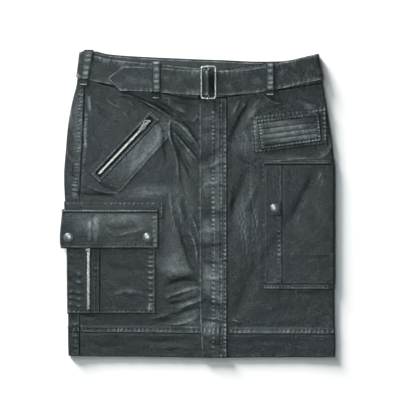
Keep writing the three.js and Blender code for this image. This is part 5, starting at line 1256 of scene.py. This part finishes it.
SNAP_PROFILE = [
    (6.7, 0), (7.1, 0.08), (7.3, 0.35), (7.34, 0.7), (7.2, 1.0), (6.95, 1.16), (6.75, 1.16), (6.6, 1.2), (6.3, 1.42),
    (5.9, 1.66), (5.3, 1.94), (4.6, 2.2), (3.8, 2.42), (2.9, 2.59), (2.0, 2.7), (1.0, 2.76), (0.3, 2.78)]
for name, lean in (("snap_cargo_side", 0.06), ("snap_cargo_front", 0.0), ("snap_bellows", 0.0)):
    low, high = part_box(name)
    points, faces = lathe(SNAP_PROFILE, 56)
    points = points @ np.array([[math.cos(lean), 0, math.sin(lean)], [0, 1, 0], [-math.sin(lean), 0, math.cos(lean)]])
    points += np.array([(low[0] + high[0]) / 2 / MM, (low[1] + high[1]) / 2 / MM, low[2] / MM + (0.4 if lean else 0.0)])
    make(name.replace("snap", "cap"), points, faces, CAP, "snap_metal", node=name)

# ---------------------------------------------------------------- stitches
offset, polys, verts = 0, [], []
for pts, quads in TOP:
    verts.append(pts)
    polys.append(quads + offset)
    offset += len(pts)
tree = BVHTree.FromPolygons(np.concatenate(verts).tolist(), np.concatenate(polys).tolist())


def dropped(x, y, below):
    """The cloth's point and normal above or below a place in the plan."""
    hit = tree.ray_cast((x * MM, y * MM, -0.05 if below else 0.05), (0, 0, 1 if below else -1))
    if hit[0] is None:
        return None, None
    return np.array(hit[0]) / MM, np.array(hit[1])


def sew(name, lines, pitch=3.3, length=2.5, radius=0.26, below=False, material=THREAD):
    """Rows of stitches dropped on the cloth under them, as one mesh."""
    sides = 5
    a = np.linspace(0, 2 * PI, sides, endpoint=False)[:, None]
    faces = ring_faces(4, sides)
    parts = []
    for line in lines:
        line = np.array(line, float)
        s = np.concatenate([[0], np.cumsum(np.hypot(*np.diff(line, axis=0).T))])
        for c in np.arange(pitch * 0.6, s[-1] - pitch * 0.4, pitch):
            rings = []
            # place along the stitch, height over the cloth and share of the thread's radius
            for f, lift, share in ((-0.5, -0.12, 0.5), (-0.22, 0.17, 1.0), (0.22, 0.17, 1.0), (0.5, -0.12, 0.5)):
                p, n = dropped(*(np.interp(c + f * length, s, line[:, q]) for q in (0, 1)), below)
                if p is None:
                    break
                rings.append((p, n, lift, share))
            heights = [p[2] for p, _, _, _ in rings]
            if len(rings) < 4 or max(heights) - min(heights) > 1.2:
                continue
            ahead = unit(rings[-1][0] - rings[0][0])
            points = []
            for p, n, lift, share in rings:
                side = unit(np.cross(ahead, n))
                up = np.cross(side, ahead)
                points.append(p + up * lift + radius * share * (np.cos(a) * side + np.sin(a) * up))
            parts.append((np.concatenate(points), faces))
    make(name, *join(parts), material, "coated_cloth")


def offset_line(points, d):
    """A row so far to the right of a line."""
    p = np.array(points, float)
    t = unit(np.gradient(p, axis=0))
    return p + d * np.column_stack([t[:, 1], -t[:, 0]])


def follow(line, xs, d):
    """A row so far above a line that runs across the skirt."""
    return [(x, float(line(x)) + d) for x in xs]


def upright(x, *ys):
    return [(x, y) for y in ys]


def across_at(y, *xs):
    return [(x, y) for x in xs]


def back_waist(x):
    return WAIST_TOP(x, 1)


seam_pts = [(float(SIDE_SEAM(v)), v) for v in range(14, 190, 4)]
placket_ys = range(-242, 164, 6)
rows = [offset_line(seam_pts, d) for d in (2.0, -2.5, -10.5)]
rows += [follow(hem_seam, xs, d) for xs in (range(-184, 2, 4), range(50, 216, 4)) for d in (1.6, 8.4)]
rows += [upright(x, *placket_ys) for x in (41.4, 45.4, 29.5)]
rows += [[(mix(8.0, 4.4, float(smooth(v, -245, -150))), v) for v in placket_ys]]
rows += [follow(waist_seam, xs, 2.2) for xs in (range(-176, 2, 4), range(6, 190, 4))]
sew("stitches_body", rows)
inner_ends, inner_ws = (-4.4, 124.4), (-6.7, 6.7)
rows = [[hip(s, w) for s in ends] for ends, ws in (((-8.6, 128.6), (-9, 9)), (inner_ends, inner_ws)) for w in ws]
rows += [[hip(s, w) for w in ws] for ends, ws in (((-8.4, 128.4), (-9, 9)), (inner_ends, inner_ws)) for s in ends]
rows += [[hip(*a), hip(*b)] for a, b in (((0, 43), (116, 39)), ((-1, 38), (117, 34)), ((-9, 13), (0.5, 43)),
                                         ((124, 13), (116, 39)))]
sew("stitches_hip", rows)
rows = [across_at(1.7, -208, -57), across_at(-4.4, -208, -57), upright(-57.2, 1.7, -22),
        [(-65.2, -15.5), (-65.2, -68.6), (-212, -68.6)], [(-70.2, -15.5), (-70.2, -63.8), (-210, -63.8)],
        across_at(-15.6, -206, -65), upright(-69.6, -72, -173), upright(-75.8, -72, -167),
        across_at(-173, -206, -69.6), across_at(-167, -206, -75.8), upright(-179.6, -73, -171),
        upright(-168.6, -73, -171), upright(-158.3, -73, -173), upright(-164.6, -73, -171)]
sew("stitches_cargo", rows)
c = np.array(PEN, float)
pen_in = c + (c.mean(0) - c) * np.array([0.035, 0.07])
rows = [[pen_in[a], pen_in[b]] for a, b in ((0, 1), (1, 2), (3, 2), (0, 3))]
rows += [[quad(PEN_FLAP, np.array(s), np.array(b)).tolist() for s in (0.03, 0.97)]
         for b in (0.05, 0.305, 0.50, 0.69, 0.915, 0.975)]
rows += [[quad(PEN_FLAP, np.array(a), np.array(s)).tolist() for s in (0.05, 0.96)] for a in (0.028, 0.05, 0.95, 0.972)]
sew("stitches_pen", rows)
rows = [across_at(y, 106, 214) for y in (64.6, 69.4, -130.1, -134.9)]
rows += [upright(105.6, 69.5, 64.5), upright(108, 61, -127)]
rows += [upright(x, *ys) for x in (127.2, 131.6) for ys in ((61, 4.5), (-20.5, -127))]
rows += [upright(137.2, 61, -127), across_at(-75.5, 136, 214), across_at(-80, 136, 214),
         [(117, 1.6), (131.6, 1.6), (131.6, -17.6), (117, -17.6), (117, 1.6)], across_at(-75.5, 107, 126),
         upright(84, 84, 6), upright(88.5, 82, 8)]
sew("stitches_bellows", rows)
belt_runs = (BELT_FREE, -118, 1), (BELT_FREE, 31, 192), (BELT_FIXED, -186, -150)
rows = [follow(line, np.linspace(x0, x1, 40), d) for line, x0, x1 in belt_runs for d in (-17.4, 17.4)]
rows += [[(-118, 218), (-138.5, 200.8), (-118, 183.5)]]
for tx, ty, bx_, by_ in ((-174, 245.5, -181, 187.5), (-66, 227.2, -66, 166.8), (115.4, 226.2, 115.4, 172.0)):
    for w in (-3.9, 3.9):
        rows.append([(mix(bx_, tx, s) + w, mix(by_, ty, s)) for s in np.linspace(0.1, 0.97, 20)])
sew("stitches_belt", rows, pitch=3.0, length=2.2)
rows = [follow(hem_seam, range(-190, 196, 6), d) for d in (1.6, 8.4)] + [follow(back_waist, range(-176, 180, 6), -43)]
sew("stitches_under", rows, below=True)

# ---------------------------------------------------------------- bar tacks, thicker threads at the strain points
rows = []
for x0, y0, x1, y1 in (
        (164, 98.6, 169, 98.6), (169, 99, 169, 105), (161.3, 222, 161.3, 232), (150, 304, 150, 309),
        (153.4, 98.4, 159.6, 98.4), (266.8, 95.1, 273, 95.1), (81, 85.1, 87.2, 85.3)):
    start, way = np.array(photo(x0, y0)), np.subtract(photo(x1, y1), photo(x0, y0))
    t = way / np.linalg.norm(way)
    side = np.array([t[1], -t[0]])
    for s in np.arange(0, math.hypot(*way), 0.55):
        c = start + t * s
        rows.append([c - side * 1.9, c + side * 1.9])
rows.append(follow(back_waist, range(-118, 150, 4), -3.4))
sew("stitches_tacks", rows, length=2.6, radius=0.24, material=TACK)

# ---------------------------------------------------------------- stage
floor = bpy.data.meshes.new("floor")
floor.from_pydata([(-4, -4, 0), (4, -4, 0), (4, 4, 0), (-4, 4, 0)], [], [(0, 1, 2, 3)])
floor_obj = placed("floor", floor)
shade = Shade("floor")
tone = shade.mix(shade.ramp(shade.noise(3, 2, 0.55), 0.3, 0.7), (0.84, 0.84, 0.84), (0.86, 0.86, 0.86))
shade.put(shade.shader.inputs["Base Color"], tone)
shade.shader.inputs["Roughness"].default_value = 0.9
shade.shader.inputs["Specular IOR Level"].default_value = 0.1
floor.materials.append(shade.material)
floor_obj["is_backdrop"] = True

scene = bpy.context.scene
scene.view_settings.view_transform = "Standard"
scene.view_settings.look = "None"
world = scene.world or bpy.data.worlds.new("world")
scene.world = world
world.use_nodes = True
background = world.node_tree.nodes["Background"]
background.inputs[0].default_value = (0.93, 0.97, 1.0, 1)
background.inputs[1].default_value = 0.13


def area_light(name, place, target, size, power, colour):
    light = bpy.data.lights.new(name, "AREA")
    light.shape, light.size, light.energy, light.color = "DISK", size, power, colour
    obj = placed(name, light)
    obj.location = place
    obj.rotation_euler = (Vector(target) - Vector(place)).to_track_quat("-Z", "Y").to_euler()


sun = bpy.data.lights.new("key", "SUN")
sun.energy, sun.angle, sun.color = 15.0, math.radians(19), (1.0, 0.985, 0.965)
sun_obj = placed("key", sun)
sun_obj.visible_glossy = False
sun_obj.rotation_euler = Vector((-0.57, 0.776, 0.182)).to_track_quat("Z", "Y").to_euler()
area_light("sheen", (-0.2, 0.08, 1.4), (-0.06, 0.0, 0), 0.4, 4.0, (0.84, 0.97, 1.0))
area_light("softbox", (-0.9, 1.15, 1.1), (0, 0, 0), 0.7, 12.0, (0.95, 0.98, 1.0))

SENSOR, DISTANCE = 36, 3.0  # the sensor's width in mm, and the camera's distance in metres
camera = bpy.data.cameras.new("camera")
camera.sensor_width = SENSOR
camera.lens = 1.003 * SENSOR * DISTANCE / (PICTURE * PIXEL * MM)
camera.clip_end = 20
camera_obj = placed("camera", camera)
cx, cy = photo(PICTURE / 2, PICTURE / 2)
camera_obj.location = (cx * MM, cy * MM, DISTANCE + 0.006)
scene.camera = camera_obj

as_list = lambda box: [[float(v) for v in corner] for corner in box]
{"cad": as_list(cad_box), "visual": as_list(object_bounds())}
